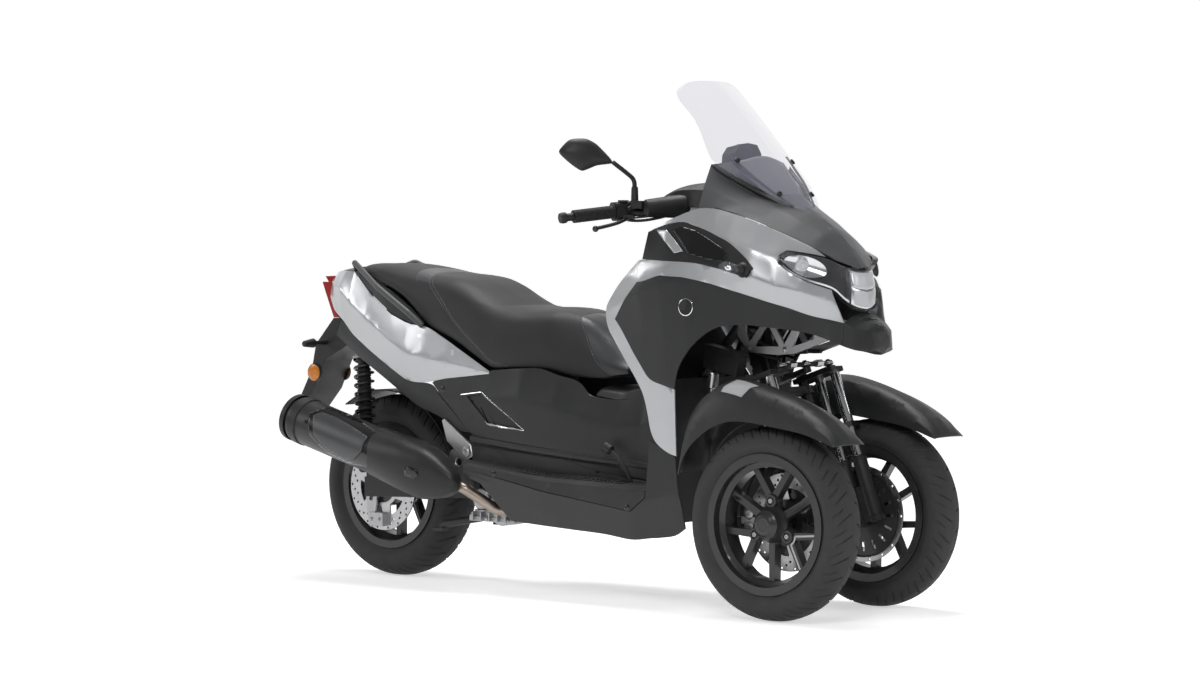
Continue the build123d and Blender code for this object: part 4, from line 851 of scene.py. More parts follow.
def smoothed(node, mat, cell=0.014, rounds=110, width=0.0012, sharp=36.0):
    """A CAD node cut into small cells, with its flat facets eased into curves and its edges kept."""
    bm = carried(node)
    points = np.array([v.co[:] for v in bm.verts])
    low, high = points.min(axis=0), points.max(axis=0)
    for k in range(3):
        normal = Vector((k == 0, k == 1, k == 2))
        first = math.floor(low[k] / cell) + 1
        last = math.ceil(high[k] / cell)
        for step in range(first, last):
            bmesh.ops.bisect_plane(bm, geom=bm.verts[:] + bm.edges[:] + bm.faces[:], dist=0.00001,
                                   plane_co=normal * step * cell, plane_no=normal)
    bmesh.ops.remove_doubles(bm, verts=bm.verts, dist=0.0004)
    bm.verts.ensure_lookup_table()
    bm.verts.index_update()
    co = np.array([v.co[:] for v in bm.verts])
    edges = np.array([[v.index for v in e.verts] for e in bm.edges])
    hard = np.array([len(e.link_faces) != 2 or e.calc_face_angle(3.0) > math.radians(sharp) for e in bm.edges])
    count = np.bincount(edges[hard].ravel(), minlength=len(co))
    rim_links = [[] for _ in co]
    for a, b in edges[hard]:
        rim_links[a].append(b)
        rim_links[b].append(a)
    free = count == 0
    line = np.zeros(len(co), bool)
    for i in np.nonzero(count == 2)[0]:
        a, b = rim_links[i]
        d1, d2 = co[i] - co[a], co[b] - co[i]
        turn = np.dot(d1, d2) / (np.linalg.norm(d1) * np.linalg.norm(d2) + 1e-12)
        line[i] = turn > math.cos(math.radians(46))
    rims = np.nonzero(line)[0]
    pairs = np.array([rim_links[i] for i in rims]).reshape(-1, 2)
    degree = np.bincount(edges.ravel(), minlength=len(co))
    for step in range(rounds * 2):
        factor = 0.6 if step % 2 == 0 else -0.613
        total = np.stack([np.bincount(edges[:, 0], co[edges[:, 1], k], len(co))
                          + np.bincount(edges[:, 1], co[edges[:, 0], k], len(co)) for k in range(3)], axis=1)
        shift = total / np.maximum(degree, 1)[:, None] - co
        moved = co.copy()
        moved[free] += factor * shift[free]
        if len(rims):
            moved[rims] += factor * ((co[pairs[:, 0]] + co[pairs[:, 1]]) / 2 - co[rims])
        co = moved
    for v, p in zip(bm.verts, co):
        v.co = p
    return mount(node + "_look", bm, mat, frame["nodes"][node]["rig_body"], width, node, sharp=sharp)


for node, mat in (
    ("upper_fairings", paint),
    ("leg_strips", paint),
    ("lower_fairings", dark),
    ("nose", dark),
    ("cowl", grey),
    ("intake_panels", black),
    ("handlebar_cover", black),
):
    smoothed(node, mat)
rounded("dash", black, 0.003)
rounded("leg_shield", dark, 0.001)
rounded("arch_liner", black)


def decal(bm, node, outline, sight, proud, cell=0.006):
    """Thin shape laid on a CAD node: an outline seen along the x, y or z sight line, landed on the surface."""
    axis = max(range(3), key=lambda k: abs(sight[k]))
    others = [k for k in range(3) if k != axis]
    flat = bmesh.new()
    corners = []
    for a, b in outline:
        spot = Vector((0, 0, 0))
        spot[others[0]], spot[others[1]] = a * MM, b * MM
        corners.append(flat.verts.new(spot))
    flat.faces.new(corners)
    for k in others:
        values = [v.co[k] for v in flat.verts]
        for step in range(math.floor(min(values) / cell) + 1, math.ceil(max(values) / cell)):
            normal = Vector((k == 0, k == 1, k == 2))
            bmesh.ops.bisect_plane(flat, geom=flat.verts[:] + flat.edges[:] + flat.faces[:], dist=0.00001,
                                   plane_co=normal * step * cell, plane_no=normal)
    last = None
    missed = []
    for v in flat.verts:
        start = Vector(v.co) / MM
        start[axis] = -3000 * sight[axis]
        point = landed(node, start, sight, proud)
        if point is None:
            missed.append(v)
        else:
            last = point
            v.co = point * MM
    for v in missed:
        guess = Vector(v.co)
        guess[axis] = last[axis] * MM
        near, normal, _, _ = trees[node].find_nearest(guess)
        v.co = near + (normal if normal.dot(Vector(sight)) < 0 else -normal) * proud * MM
    sheet = bpy.data.meshes.new("decal")
    flat.to_mesh(sheet)
    flat.free()
    bm.from_mesh(sheet)
    bpy.data.meshes.remove(sheet)


def film_on(name, bm, mat, body, thick):
    """A laid shape made into a thin solid piece."""
    thicken(mount(name, bm, mat, body), thick)


SLASH = [(467, 1048), (506, 1048), (574, 990), (545, 985)]
INNER = [(524, 1048), (552, 1058), (600, 1047), (645, 1026), (692, 1000), (712, 978), (700, 962), (660, 967),
         (592, 984)]
slashes = bmesh.new()
inners = bmesh.new()
for side in (-1, 1):
    decal(slashes, "intake_panels", SLASH, (0, -side, 0), 2.0)
    decal(inners, "intake_panels", INNER, (0, -side, 0), 1.6)
film_on("intake_slashes", slashes, paint, "chassis", 0.003)
film_on("intake_inners", inners, gloss, "chassis", 0.002)

badges = bmesh.new()
badge_rims = bmesh.new()
for side in (-1, 1):
    spot = aim((588, side * 273.5, 839), (0.06, side, 0))
    lathe(badges, [(-2, 21.5), (1.2, 21.5), (1.2, 0)], spot, 48)
    lathe(badge_rims, [(-2, 24), (1.6, 24), (2.0, 23.4), (2.0, 21.8), (1.2, 21.5), (-2, 21.5)], spot, 64)
mount("badge_places", badges, gloss, "chassis")
mount("badge_rims", badge_rims, chrome, "chassis")

slot_bm = bmesh.new()
decal(slot_bm, "nose", [(1006, -34), (1013, -34), (1013, 34), (1006, 34)], (0, 0, -1), 0.3)
film_on("nose_slot", slot_bm, gloss, "chassis", 0.0012)


# Headlight unit: one clear visor over a dark housing, with a bright reflector bowl on each side and two
# stacked LED blocks in the middle. Turn signals: clear lenses on short stalks.
def clear(name, color, weight, rough_low, rough_high):
    """Clear plastic with a trace of haze."""
    mat = bpy.data.materials.new(name)
    mat.use_nodes = True
    nodes, links = mat.node_tree.nodes, mat.node_tree.links
    shader = nodes["Principled BSDF"]
    place = nodes.new("ShaderNodeTexCoord")
    noise = nodes.new("ShaderNodeTexNoise")
    noise.inputs["Scale"].default_value = 6.0
    links.new(place.outputs["Object"], noise.inputs["Vector"])
    haze = mapped(mat.node_tree, noise.outputs["Fac"], 0.0, 1.0, rough_low, rough_high)
    links.new(haze, shader.inputs["Roughness"])
    shader.inputs["Base Color"].default_value = (*color, 1)
    shader.inputs["Alpha"].default_value = weight
    shader.inputs["IOR"].default_value = 1.49
    return mat


lens = clear("lamp lens", (0.86, 0.87, 0.9), 0.05, 0.02, 0.06)
bright = finish("bright reflector", (0.62, 0.63, 0.65), 0.2, metal=0.95, scale=20, amount=0.06, dust=0.0)
frosted = finish("frosted LED block", (0.62, 0.63, 0.65), 0.35, scale=60, amount=0.05, dust=0.0, coat=0.5)
LAMP_KEYS = (0, 0.16, 0.33, 0.5, 0.7, 0.88, 1.0)
LAMP_TOP = ((992, 0, 938), (987, 34, 940), (972, 76, 951), (953, 115, 969), (903, 155, 983), (862, 185, 991),
            (842, 198, 980))
LAMP_LOW = ((1003, 0, 830), (997, 36, 836), (982, 76, 856), (963, 106, 886), (912, 163, 911),
            (873, 184, 934), (844, 199, 962))


def lamp_point(t, v, deep):
    """Point of the visor: t from right tip -1 to left tip 1, v from the top edge 0 to the lower edge 1."""
    a = abs(t)
    top, low = eased(LAMP_KEYS, LAMP_TOP, a), eased(LAMP_KEYS, LAMP_LOW, a)
    p = Vector(top + (low - top) * v)
    out = Vector((p.x - 780, p.y * 0.9, 0)).normalized()
    p += out * (5 * math.sin(math.pi * v) * (1 - a**3) - deep)
    return Vector((p.x, p.y if t > 0 else -p.y, p.z)) * MM


visor = bmesh.new()
weave(visor, [[lamp_point(t / 44, v / 14, 0) for t in range(-44, 45)] for v in range(15)])
mount("lamp_visor", visor, lens, "chassis", replaces="headlight")
housing = bmesh.new()
weave(housing, [[lamp_point(t / 44, -0.04 + 1.08 * v / 14, 16 + 6 * math.sin(math.pi * v / 14))
                 for t in range(-44, 45)]
                for v in range(15)])
for v in (0.0, 1.0):
    weave(housing, [[lamp_point(t / 44, v, deep) for t in range(-44, 45)] for deep in (1.2, 16)])
mount("lamp_housing", housing, gloss, "chassis")
bowls = bmesh.new()
bulbs = bmesh.new()
for side in (-1, 1):
    rows = []
    for i in range(13):
        row = []
        for j in range(40):
            angle = 2 * math.pi * j / 40
            reach = i / 12
            u = math.cos(angle) * reach
            w = math.sin(angle) * reach
            a = 0.735 + 0.19 * u + 0.03 * w
            v = 0.47 + 0.4 * w
            row.append(lamp_point(side * a, v, 4 + 15 * (1 - reach**2)))
        rows.append(row)
    weave(bowls, rows[1:], closed=True)
    spot = lamp_point(side * 0.735, 0.47, 17) / MM
    front = Vector((0.86, side * 0.5, 0.02))
    lathe(bulbs, [(-6, 17), (8, 16), (11, 14), (11, 11), (9, 10), (12, 7), (14, 3), (14, 0)],
          aim(spot, front), 36)
    brow = []
    for i in range(13):
        brow.append([lamp_point(side * (0.28 + 0.68 * i / 12), 0.9 + 0.035 * k, 5) for k in range(3)])
    weave(bowls, brow)
mount("lamp_bowls", bowls, bright, "chassis")
mount("lamp_bulbs", bulbs, frosted, "chassis", 0.0004)
blocks = bmesh.new()
frames_bm = bmesh.new()
for low, high in ((0.06, 0.44), (0.53, 0.92)):
    for shell, inset, deep, back in ((blocks, 0.0, 4.0, 12.0), (frames_bm, 0.035, 5.6, 14.0)):
        reach = 0.215 + inset
        front_rows = [[lamp_point(-reach + 2 * reach * t / 20, low - inset + (high - low + 2 * inset) * v / 8,
                                  deep if 0 < v < 8 and 0 < t < 20 else deep + 1.2)
                       for t in range(21)]
                      for v in range(9)]
        weave(shell, front_rows)
        way_back = [r[0] for r in front_rows[-2:0:-1]]
        rim = front_rows[0] + [r[-1] for r in front_rows[1:]] + front_rows[-1][-2::-1] + way_back
        weave(shell, [rim, [p - Vector((back * MM, 0, 0)) for p in rim]], closed=True)
mount("led_blocks", blocks, frosted, "chassis")
mount("led_frames", frames_bm, bright, "chassis")
signals = bmesh.new()
stalks = bmesh.new()
glints = bmesh.new()
for side in (-1, 1):
    spot = Matrix.Translation(Vector((752, side * 298, 946)) * MM) @ Matrix.Rotation(side * 0.25, 4, "Z")
    spot = spot @ Matrix.Rotation(0.16, 4, "Y") @ Matrix.Diagonal((36 * MM, 19 * MM, 17 * MM, 1))
    bmesh.ops.create_uvsphere(signals, u_segments=32, v_segments=16, radius=1.0, matrix=spot)
    bmesh.ops.create_uvsphere(glints, u_segments=16, v_segments=8, radius=0.42, matrix=spot)
    rod(stalks, (766, side * 248, 940), (756, side * 290, 945), 15, 12)
    lathe(stalks, [(-3, 21), (2, 20), (6, 16)], aim((765, side * 254, 941), (0, side, 0)), 28)
mount("turn_signals", signals, lens, "chassis", replaces="front_indicators")
mount("signal_stalks", stalks, black, "chassis")
mount("signal_bulbs", glints, bright, "chassis")


# Windscreen: tall clear acrylic with a faint lavender cast, bent in one curve. Two black side stays with
# bolts hold it over a light grey garnish.
screen_mat = clear("clear screen", (0.34, 0.34, 0.43), 0.17, 0.03, 0.07)
SCREEN = (
    # height, x at the middle, half width
    (1090, 817, 14),
    (1112, 798, 58),
    (1144, 770, 100),
    (1184, 737, 146),
    (1220, 704, 176),
    (1240, 686, 184),
    (1280, 650, 176),
    (1322, 611, 163),
    (1363, 573, 156),
    (1400, 538, 158),
    (1428, 511, 151),
    (1450, 489, 122),
    (1461, 478, 86),
    (1465.5, 472, 40),
)
heights = [row[0] for row in SCREEN]


def screen_point(y, z, behind=0.0):
    """Point of the windscreen's sheet, or a little behind it."""
    x = float(eased(heights, [row[1] for row in SCREEN], z))
    return Vector((x - y * y / 440 - behind, y, z - behind * 0.6)) * MM


rows = []
for i in range(91):
    z = 1090 + 374.4 * (1 - (1 - i / 90) ** 1.25)
    half = float(eased(heights, [row[2] for row in SCREEN], z))
    rows.append([screen_point(half * j / 22, z) for j in range(-22, 23)])
sheet = bmesh.new()
weave(sheet, rows)
thicken(mount("screen_pane", sheet, screen_mat, "chassis", replaces="windscreen"), 0.0032)

stays = bmesh.new()
stay_bolts = bmesh.new()
for side in (-1, 1):
    rows = []
    for i in range(31):
        t = i / 30
        y = 132 - 84 * t + 14 * math.sin(math.pi * t)
        z = 1256 - 140 * t - 2 * math.sin(math.pi * t)
        wide = 15 * min(1, 0.25 + 5 * t, 0.2 + 4 * (1 - t)) * (1 + 0.25 * math.sin(math.pi * t))
        rows.append([screen_point(side * (y + wide * k * 0.75), z + wide * k * 0.66, 6.5 - 2.5 * (1 - k * k))
                     for k in (-1, -0.75, -0.3, 0.3, 0.75, 1)])
    weave(stays, rows)
    for t in (0.12, 0.78):
        y = 132 - 84 * t + 14 * math.sin(math.pi * t)
        z = 1256 - 140 * t
        spot = screen_point(side * y, z, -2.0)
        out = Vector((0.62, side * 0.45, 0.64)).normalized()
        lathe(stay_bolts, [(-8, 5), (0, 8.5), (2.2, 8), (3.4, 5.5), (3.4, 3), (1.5, 2.6), (1.5, 0)],
              aim(spot / MM, out), 24)
    rows = []
    for i in range(31):
        t = i / 30
        z = 1236 - 142 * t
        half = float(eased(heights, [row[2] for row in SCREEN], max(z, 1092)))
        rows.append([screen_point(side * max(half - 4 - 15 * k, 0), z - 6 * k, 14 + 10 * k)
                     for k in (0, 0.33, 0.66, 1)])
    weave(stays, rows)
garnish = bmesh.new()
rows = []
for i in range(25):
    t = i / 24
    reach = 132 - 84 * t + 14 * math.sin(math.pi * t) - 10
    rows.append([screen_point(reach * j / 16,
                              1250 - 134 * t + 16 * (1 - t) * math.cos(math.pi * j / 32) ** 2,
                              20 + 4 * t)
                 for j in range(-16, 17)])
weave(garnish, rows)
light_grey = finish("light grey plastic", (0.2, 0.2, 0.215), 0.4, amount=0.06, grain=0.15)
thicken(mount("screen_garnish", garnish, light_grey, "chassis"), 0.003, -1)
thicken(mount("screen_stays", stays, black, "chassis"), 0.004)
mount("screen_bolts", stay_bolts, black, "chassis")


# Seat: one padded lid for two. Foam on a pan, covered in black grained vinyl that is sewn along a double
# seam behind the rider and a seam round the smooth front cap; the bolster's lighter edge is a painted
# highlight.
vinyl = finish("seat vinyl", (0.021, 0.021, 0.022), 0.56, scale=9, amount=0.1, grain=0.5, grain_scale=420)
# Lighter smooth vinyl: the front cap's own cover, and on the bolster's rolled edge a painted highlight.
smooth_vinyl_and_edge_highlight = finish("smooth vinyl and painted edge highlight", (0.042, 0.043, 0.046), 0.38, scale=9, amount=0.06, grain=0.15)
thread = finish("grey thread", (0.16, 0.16, 0.165), 0.7, scale=300, amount=0.2)
SEAT = (
    # x, then across from the middle of the top to the lower edge: (out, height)
    (-806, (0, 947), (55, 944), (88, 936), (98, 926), (94, 916)),
    (-786, (0, 951), (64, 949), (100, 939), (112, 924), (104, 912)),
    (-700, (0, 949), (85, 946), (128, 933), (142, 912), (134, 896)),
    (-584, (0, 934), (95, 931), (146, 912), (162, 880), (156, 858)),
    (-520, (0, 922), (98, 920), (150, 900), (168, 848), (162, 812)),
    (-471, (0, 920), (100, 917), (155, 889), (172, 817), (166, 771)),
    (-400, (0, 913), (102, 909), (158, 872), (176, 790), (168, 742)),
    (-336, (0, 893), (104, 888), (160, 846), (177, 758), (170, 715)),
    (-265, (0, 856), (106, 852), (162, 814), (179, 729), (174, 677)),
    (-199, (0, 829), (105, 826), (160, 790), (178, 704), (174, 646)),
    (-110, (0, 821), (98, 818), (150, 786), (168, 704), (166, 650)),
    (-29, (0, 823), (88, 819), (136, 787), (154, 706), (152, 650)),
    (60, (0, 806), (72, 800), (108, 765), (126, 690), (124, 630)),
    (140, (0, 750), (56, 744), (86, 714), (104, 668), (102, 626)),
    (200, (0, 697), (50, 693), (74, 676), (90, 655), (88, 636)),
    (232, (0, 672), (45, 669), (68, 662), (82, 650), (82, 641)),
)
LENGTHS = [row[0] for row in SEAT]
SECTIONS = np.array([row[1:] for row in SEAT], float)


def seat_point(x, across):
    """Point of the seat's cover; across runs from -4, the left lower edge, over the top to 4, the right one."""
    line = eased(LENGTHS, SECTIONS.reshape(len(SEAT), -1), x).reshape(5, 2)
    out, high = eased([0, 1, 2, 3, 4], line, abs(across))
    return Vector((x, -out if across > 0 else out, high)) * MM


SEAMS = (
    # where along the seat each row of the cover lies, for places across from the middle to the edge
    ((0, -806), (4, -806)),
    ((0, -531), (0.6, -512), (1.2, -492), (2.0, -462), (2.5, -405), (2.9, -331), (3.4, -246), (3.7, -185),
     (4, -134)),
    ((0, -196), (0.8, -204), (1.6, -262), (2.1, -345), (2.5, -389), (2.9, -316), (3.4, -231), (3.7, -170),
     (4, -119)),
    ((0, 44), (1, 52), (2, 92), (3, 142), (4, 196)),
    ((0, 232), (4, 232)),
)
SPLITS = (44, 22, 42, 16)
columns = [0.0]
for low, high, count in ((0, 1, 12), (1, 2, 9), (2, 3, 10), (3, 4, 7)):
    columns += [low + (high - low) * (i + 1) / count for i in range(count)]
columns = [-c for c in columns[:0:-1]] + columns
rows, zones = [], []
for zone, count in enumerate(SPLITS):
    for i in range(count + (zone == len(SPLITS) - 1)):
        row = []
        for c in columns:
            a = float(eased(*zip(*SEAMS[zone]), abs(c)))
            b = float(eased(*zip(*SEAMS[zone + 1]), abs(c)))
            row.append(seat_point(a + (b - a) * i / count, c))
        under = [Vector((p.x, p.y * k, p.z + 0.001))
                 for k, p in ((0.7, row[-1]), (0, row[-1]), (-0.7, row[-1]))]
        rows.append(row + under)
        zones.append(zone)
sewn_rows = [0, SPLITS[0], SPLITS[0] + SPLITS[1], sum(SPLITS[:3]), sum(SPLITS)]
cover = bmesh.new()
laid = weave(cover, rows, closed=True)
cover.faces.new(laid[0])
cover.faces.new(laid[-1][::-1])
cover.verts.index_update()
width_count = len(rows[0])
pinned = set()
for r, row in enumerate(laid):
    for c, v in enumerate(row):
        level = abs(columns[c]) if c < len(columns) else 4
        if level > 3.75 or r in (0, len(laid) - 1) or r == sewn_rows[1] or r == sewn_rows[3]:
            pinned.add(v.index)
        if r == sewn_rows[2] and level < 2.6:
            pinned.add(v.index)
# Front cap in smooth vinyl; the band on the bolster's edge gets its lighter colour as a painted highlight.
for r in range(len(laid) - 1):
    for c in range(len(columns) - 1):
        face = next(f for f in laid[r][c].link_faces if laid[r + 1][c + 1] in f.verts)
        level = abs(columns[c] + columns[c + 1]) / 2
        if zones[r] == 3 or (r >= SPLITS[0] - 9 and zones[r] == 0 and level < 1.9):
            face.material_index = 1
cover_object = mount("seat_cover", cover, vinyl, "seat", replaces="seat", sharp=60)
mesh = cover_object.data
mesh.materials.append(smooth_vinyl_and_edge_highlight)
group = cover_object.vertex_groups.new(name="sewn")
group.add(sorted(pinned), 1.0, "REPLACE")
cloth = cover_object.modifiers.new("cloth", "CLOTH")
cloth.settings.quality = 6
cloth.settings.mass = 0.3
cloth.settings.tension_stiffness = 18
cloth.settings.compression_stiffness = 18
cloth.settings.shear_stiffness = 8
cloth.settings.bending_stiffness = 1.5
cloth.settings.use_pressure = True
cloth.settings.uniform_pressure_force = 4.0
cloth.settings.effector_weights.gravity = 0.0
cloth.settings.vertex_group_mass = "sewn"
cloth.collision_settings.use_collision = False
cloth.point_cache.frame_end = 20
rest = np.array([v.co[:] for v in mesh.vertices])
for step in range(1, 21):
    scene.frame_set(step)
stuffed = cover_object.evaluated_get(bpy.context.evaluated_depsgraph_get())
found = np.array([v.co[:] for v in stuffed.data.vertices])
cover_object.modifiers.remove(cloth)
scene.frame_set(1)
shift = found - rest
length = np.linalg.norm(shift, axis=1)
cap = 0.0055
scale = np.where(length > 1e-9, cap * np.tanh(length / cap) / np.maximum(length, 1e-9), 0)
shift *= scale[:, None]
mesh.vertices.foreach_set("co", (rest + shift).ravel())
mesh.update()
finer = cover_object.modifiers.new("finer", "SUBSURF")
finer.levels = finer.render_levels = 1

bpy.context.view_layer.update()
final = cover_object.evaluated_get(bpy.context.evaluated_depsgraph_get())
skin_bm = bmesh.new()
skin_bm.from_mesh(final.data)
skin_tree = BVHTree.FromBMesh(skin_bm)
skin_bm.free()
stitches = bmesh.new()
for seam, gaps in ((1, (-7, 7)), (3, (-5,))):
    for gap in gaps:
        for side in (-1, 1):
            line = []
            for i in range(331):
                c = 3.85 * i / 330
                x = float(eased(*zip(*SEAMS[seam]), c)) + gap * (1 if c < 2 else 1.25)
                line.append(seat_point(x, side * c))
            run, begin = 0.0, None
            for a, b in zip(line, line[1:]):
                run += (b - a).length
                if begin is None and run > 0.0022:
                    begin, run = b, 0.0
                elif begin is not None and run > 0.0042:
                    low, normal_low, _, _ = skin_tree.find_nearest(begin)
                    high, normal_high, _, _ = skin_tree.find_nearest(b)
                    rod(stitches, tuple((low + normal_low * 0.0002) / MM),
                        tuple((high + normal_high * 0.0002) / MM), 0.75, sides=6, nose=0.4)
                    begin, run = None, 0.0
mount("seat_stitches", stitches, thread, "seat")


# Rear bodywork: silver painted side panels over dark covers, floor, skirts and tunnel, round a black tub.
# Thin moulded plastic, clipped and screwed to the frame.
for node, mat in (
    ("rear_side_panels", paint),
    ("under_panels", dark),
    ("side_covers", dark),
    ("tail_covers", dark),
    ("foot_boards", dark),
    ("skirts", dark),
    ("tunnel_cover", dark),
    ("vent_grilles", black),
):
    smoothed(node, mat, rounds=70 if node == "rear_side_panels" else 110)
rounded("storage_tub", black)


# Floor: mouldings along the sills, a ribbed rubber mat on each board and the brake pedal on the right.
# Dark grey plastic, rubber and a black steel lever.
SILL = ((-272, 189), (-197, 190), (-95, 195), (0, 193), (85, 186), (169, 176), (250, 162), (315, 153),
        (400, 149))
sills = bmesh.new()
mats = bmesh.new()
pedals = bmesh.new()
for side in (-1, 1):
    rows = []
    for i in range(57):
        x = -272 + 672 * i / 56
        y = float(eased(*zip(*SILL), x))
        top = 452 - 0.085 * (x + 272)
        line = [(y - 4, top + 14), (y - 3, top + 2), (y + 4, top + 1), (y + 8.5, top - 3), (y + 10, top - 9),
                (y + 8, top - 17), (y + 2, top - 22), (y - 1, top - 30), (y - 1, top - 60), (y - 2, top - 105)]
        rows.append([Vector((x, side * out, high)) * MM for out, high in line])
    weave(sills, rows)
    decal(mats, "foot_boards", [(-40, side * 204), (-30, side * 199), (90, side * 196), (300, side * 184),
                                (322, side * 190), (330, side * 236), (318, side * 243), (-25, side * 246),
                                (-40, side * 240)], (0, 0, -1), 1.5)
    for i in range(24):
        x = -24 + 14.5 * i
        low = 203 - max(0, (x - 60)) * 0.055
        ends = [landed("foot_boards", (x, side * y, 600), (0, 0, -1), 3.4) for y in (low + 2, 238)]
        if None not in ends:
            rod(mats, tuple(ends[0]), tuple(ends[1]), 2.6, sides=8, nose=1.6)
    rows = []
    for x, z in ((-244, 364), (-150, 341), (-40, 322), (62, 311), (220, 290), (383, 271), (432, 306)):
        rows.append([Vector((x, side * out, z + lift)) * MM
                     for out, lift in ((246, 26), (257.5, 12), (258, 0), (257, -16), (246, -30))])
    weave(sills, rows)
rod(pedals, (238, -203, 445), (264, -199, 430), 14, nose=4)
hose(pedals, [(258, -200, 434), (288, -199, 412), (312, -196, 385), (326, -192, 352), (330, -190, 338)], 5.5)
mount("sill_mouldings", sills, dark, "chassis")
film_on("foot_mats", mats, grip_rubber, "chassis", 0.002)
mount("brake_pedal", pedals, black, "chassis")


# Side cover vents: a bright wire frame, a silver sliver and black louvres on each side, and the round bolts
# that hold the lower panels.
vents = bmesh.new()
slivers = bmesh.new()
louvres = bmesh.new()
body_bolts = bmesh.new()
for side in (-1, 1):
    frame_line = []
    for a, b in (((-312, 570), (-231, 580)), ((-231, 580), (-58, 475)), ((-58, 475), (-206, 486))):
        for k in range(12):
            x, z = a[0] + (b[0] - a[0]) * k / 12, a[1] + (b[1] - a[1]) * k / 12
            point = landed("side_covers", (x, side * 500, z), (0, -side, 0), 0.6)
            if point is not None:
                frame_line.append(tuple(point))
    hose(vents, frame_line, 1.7)
    decal(slivers, "side_covers", [(-214, 497), (-150, 489), (-68, 476), (-140, 477), (-208, 487)],
          (0, -side, 0), 1.2)
    for i in range(5):
        low = Vector((-272 + 36 * i, side * 190, 556 - 19 * i))
        rod(louvres, tuple(low), (low.x + 28, side * 191, low.z - 46 + 4 * i), 2.4, sides=8)
    for node, x, z in (("side_covers", -391, 583), ("foot_boards", 375, 281), ("foot_boards", -120, 352),
                       ("lower_fairings", 520, 560), ("under_panels", -520, 640)):
        point = landed(node, (x, side * 600, z), (0, -side, 0), -0.5)
        if point is not None:
            lathe(body_bolts, [(0, 9), (1.6, 8.4), (2.6, 6.4), (2.6, 3.4), (1.0, 3.0), (1.0, 0)],
                  aim(tuple(point), (0, side, 0)), 24)
mount("vent_frames", vents, chrome, "chassis")
film_on("vent_slivers", slivers, paint, "chassis", 0.0024)
mount("vent_louvres", louvres, gloss, "chassis")
mount("body_bolts", body_bolts, gloss, "chassis")


# Lower engine castings and the right passenger peg's brackets: flanges, webs, caps and bolts. Bare cast alloy
# and silver painted plate.
castings = bmesh.new()
fins = bmesh.new()
plate(fins, [[(-392, 492), (-384, 497), (-300, 440), (-276, 424), (-270, 392), (-300, 380), (-322, 392),
              (-372, 432)]], 12, facing((0, -184, 0), -1), 2.0)
plate(fins, [[(-366, 404), (-330, 420), (-286, 346), (-276, 300), (-300, 292), (-322, 318), (-340, 352),
              (-384, 364)], circle(11, -334, 372)], 9, facing((0, -176, 0), -1), 2.0)
lathe(fins, [(0, 15), (10, 15), (13, 12), (13, 6), (10, 6), (10, 0)], aim((-290, -188, 404), (0, -1, 0)), 28)
lathe(castings, [(-60, 50), (4, 50), (9, 46), (10, 38), (15, 36), (17, 20), (22, 18), (22, 0)],
      aim((-205, -130, 238), (0, -1, 0)), 48)
lathe(castings, [(-60, 34), (8, 34), (12, 30), (13, 12), (20, 11), (20, 0)],
      aim((-285, -124, 262), (0, -1, 0)), 40)
lathe(castings, [(-60, 24), (14, 24), (17, 20), (17, 8), (24, 8), (24, 0)],
      aim((-150, -128, 262), (0, -1, 0)), 32)
slab(castings, (-225, -118, 206), (190, 60, 14))
slab(castings, (-230, -132, 222), (150, 20, 20))
for i in range(6):
    slab(castings, (-300 + 32 * i, -140, 214), (5, 36, 26))
for x, z in ((-252, 208), (-168, 206), (-310, 214), (-246, 286), (-178, 286), (-318, 292)):
    bolt(castings, (x, -146, z), (0, -1, 0), 6, 6)
mount("rear_castings", castings, alloy, "chassis", 0.0018)
mount("peg_brackets", fins, silver_paint_and_spoke_highlight, "chassis", 0.0012)


# Tail and under parts: red lamp, plate holder, indicators, grab rails, hugger, centre stand and shock bodies.
# Moulded plastic and black steel, bolted to the rear of the frame.
red = finish("red lens", (0.35, 0.012, 0.012), 0.16, scale=30, amount=0.15, coat=0.6)
rounded("tail_lamp", red, 0.001)
rounded("plate_holder", black, 0.003)
rounded("rear_indicators", black, 0.003)
rounded("grab_rails", grey, 0.002)
rounded("hugger", black, 0.001)
rounded("centre_stand", powder, 0.002)
rounded("rear_shocks", powder, 0.002)


# Rear suspension: one coil spring on each side between turned steel collars, over a rubber bellows.
# Black enamelled spring steel.
coils = bmesh.new()
shock_parts = bmesh.new()
bellows = bmesh.new()
for side in (-1, 1):
    foot, head = Vector((-750.6, side * 135.1, 355)), Vector((-800, side * 98, 738))
    axis = (head - foot).normalized()
    place = aim(tuple(foot), axis)
    length = (head - foot).length
    rows = []
    turns = 9
    for i in range(turns * 24 + 1):
        angle = 2 * math.pi * i / 24
        rise = 70 + (length - 150) * i / (turns * 24)
        centre = Vector((27.5 * math.cos(angle), 27.5 * math.sin(angle), rise))
        outward = Vector((math.cos(angle), math.sin(angle), 0))
        rows.append([place @ (centre + outward * 4.6 * math.cos(k * math.pi / 4)
                              + Vector((0, 0, 4.6 * math.sin(k * math.pi / 4))))
                     for k in range(8)])
    weave(coils, rows, closed=True)
    lathe(shock_parts, [(length - 78, 33), (length - 70, 33), (length - 66, 26), (length - 52, 24),
                        (length - 52, 20), (length - 34, 20), (length - 30, 18.6)], place, 32)
    lathe(shock_parts, [(50, 19), (54, 31), (62, 33), (66, 33), (66, 20)], place, 32)
    lathe(bellows, [(60, 21.5)] + [(66 + 9 * k + d, r)
                                   for k in range(24) for d, r in ((0, 19.5), (4, 22.4), (8, 19.5))], place, 28)
    lathe(bellows, [(-9, 0), (-9, 12), (-7, 14), (7, 14), (9, 12), (9, 0)],
          aim((-748, side * 150, 334), (0, 1, 0)), 28)
mount("shock_springs", coils, enamel, "chassis")
mount("shock_collars", shock_parts, steel, "chassis")
mount("shock_bellows", bellows, rubber_hose, "chassis")


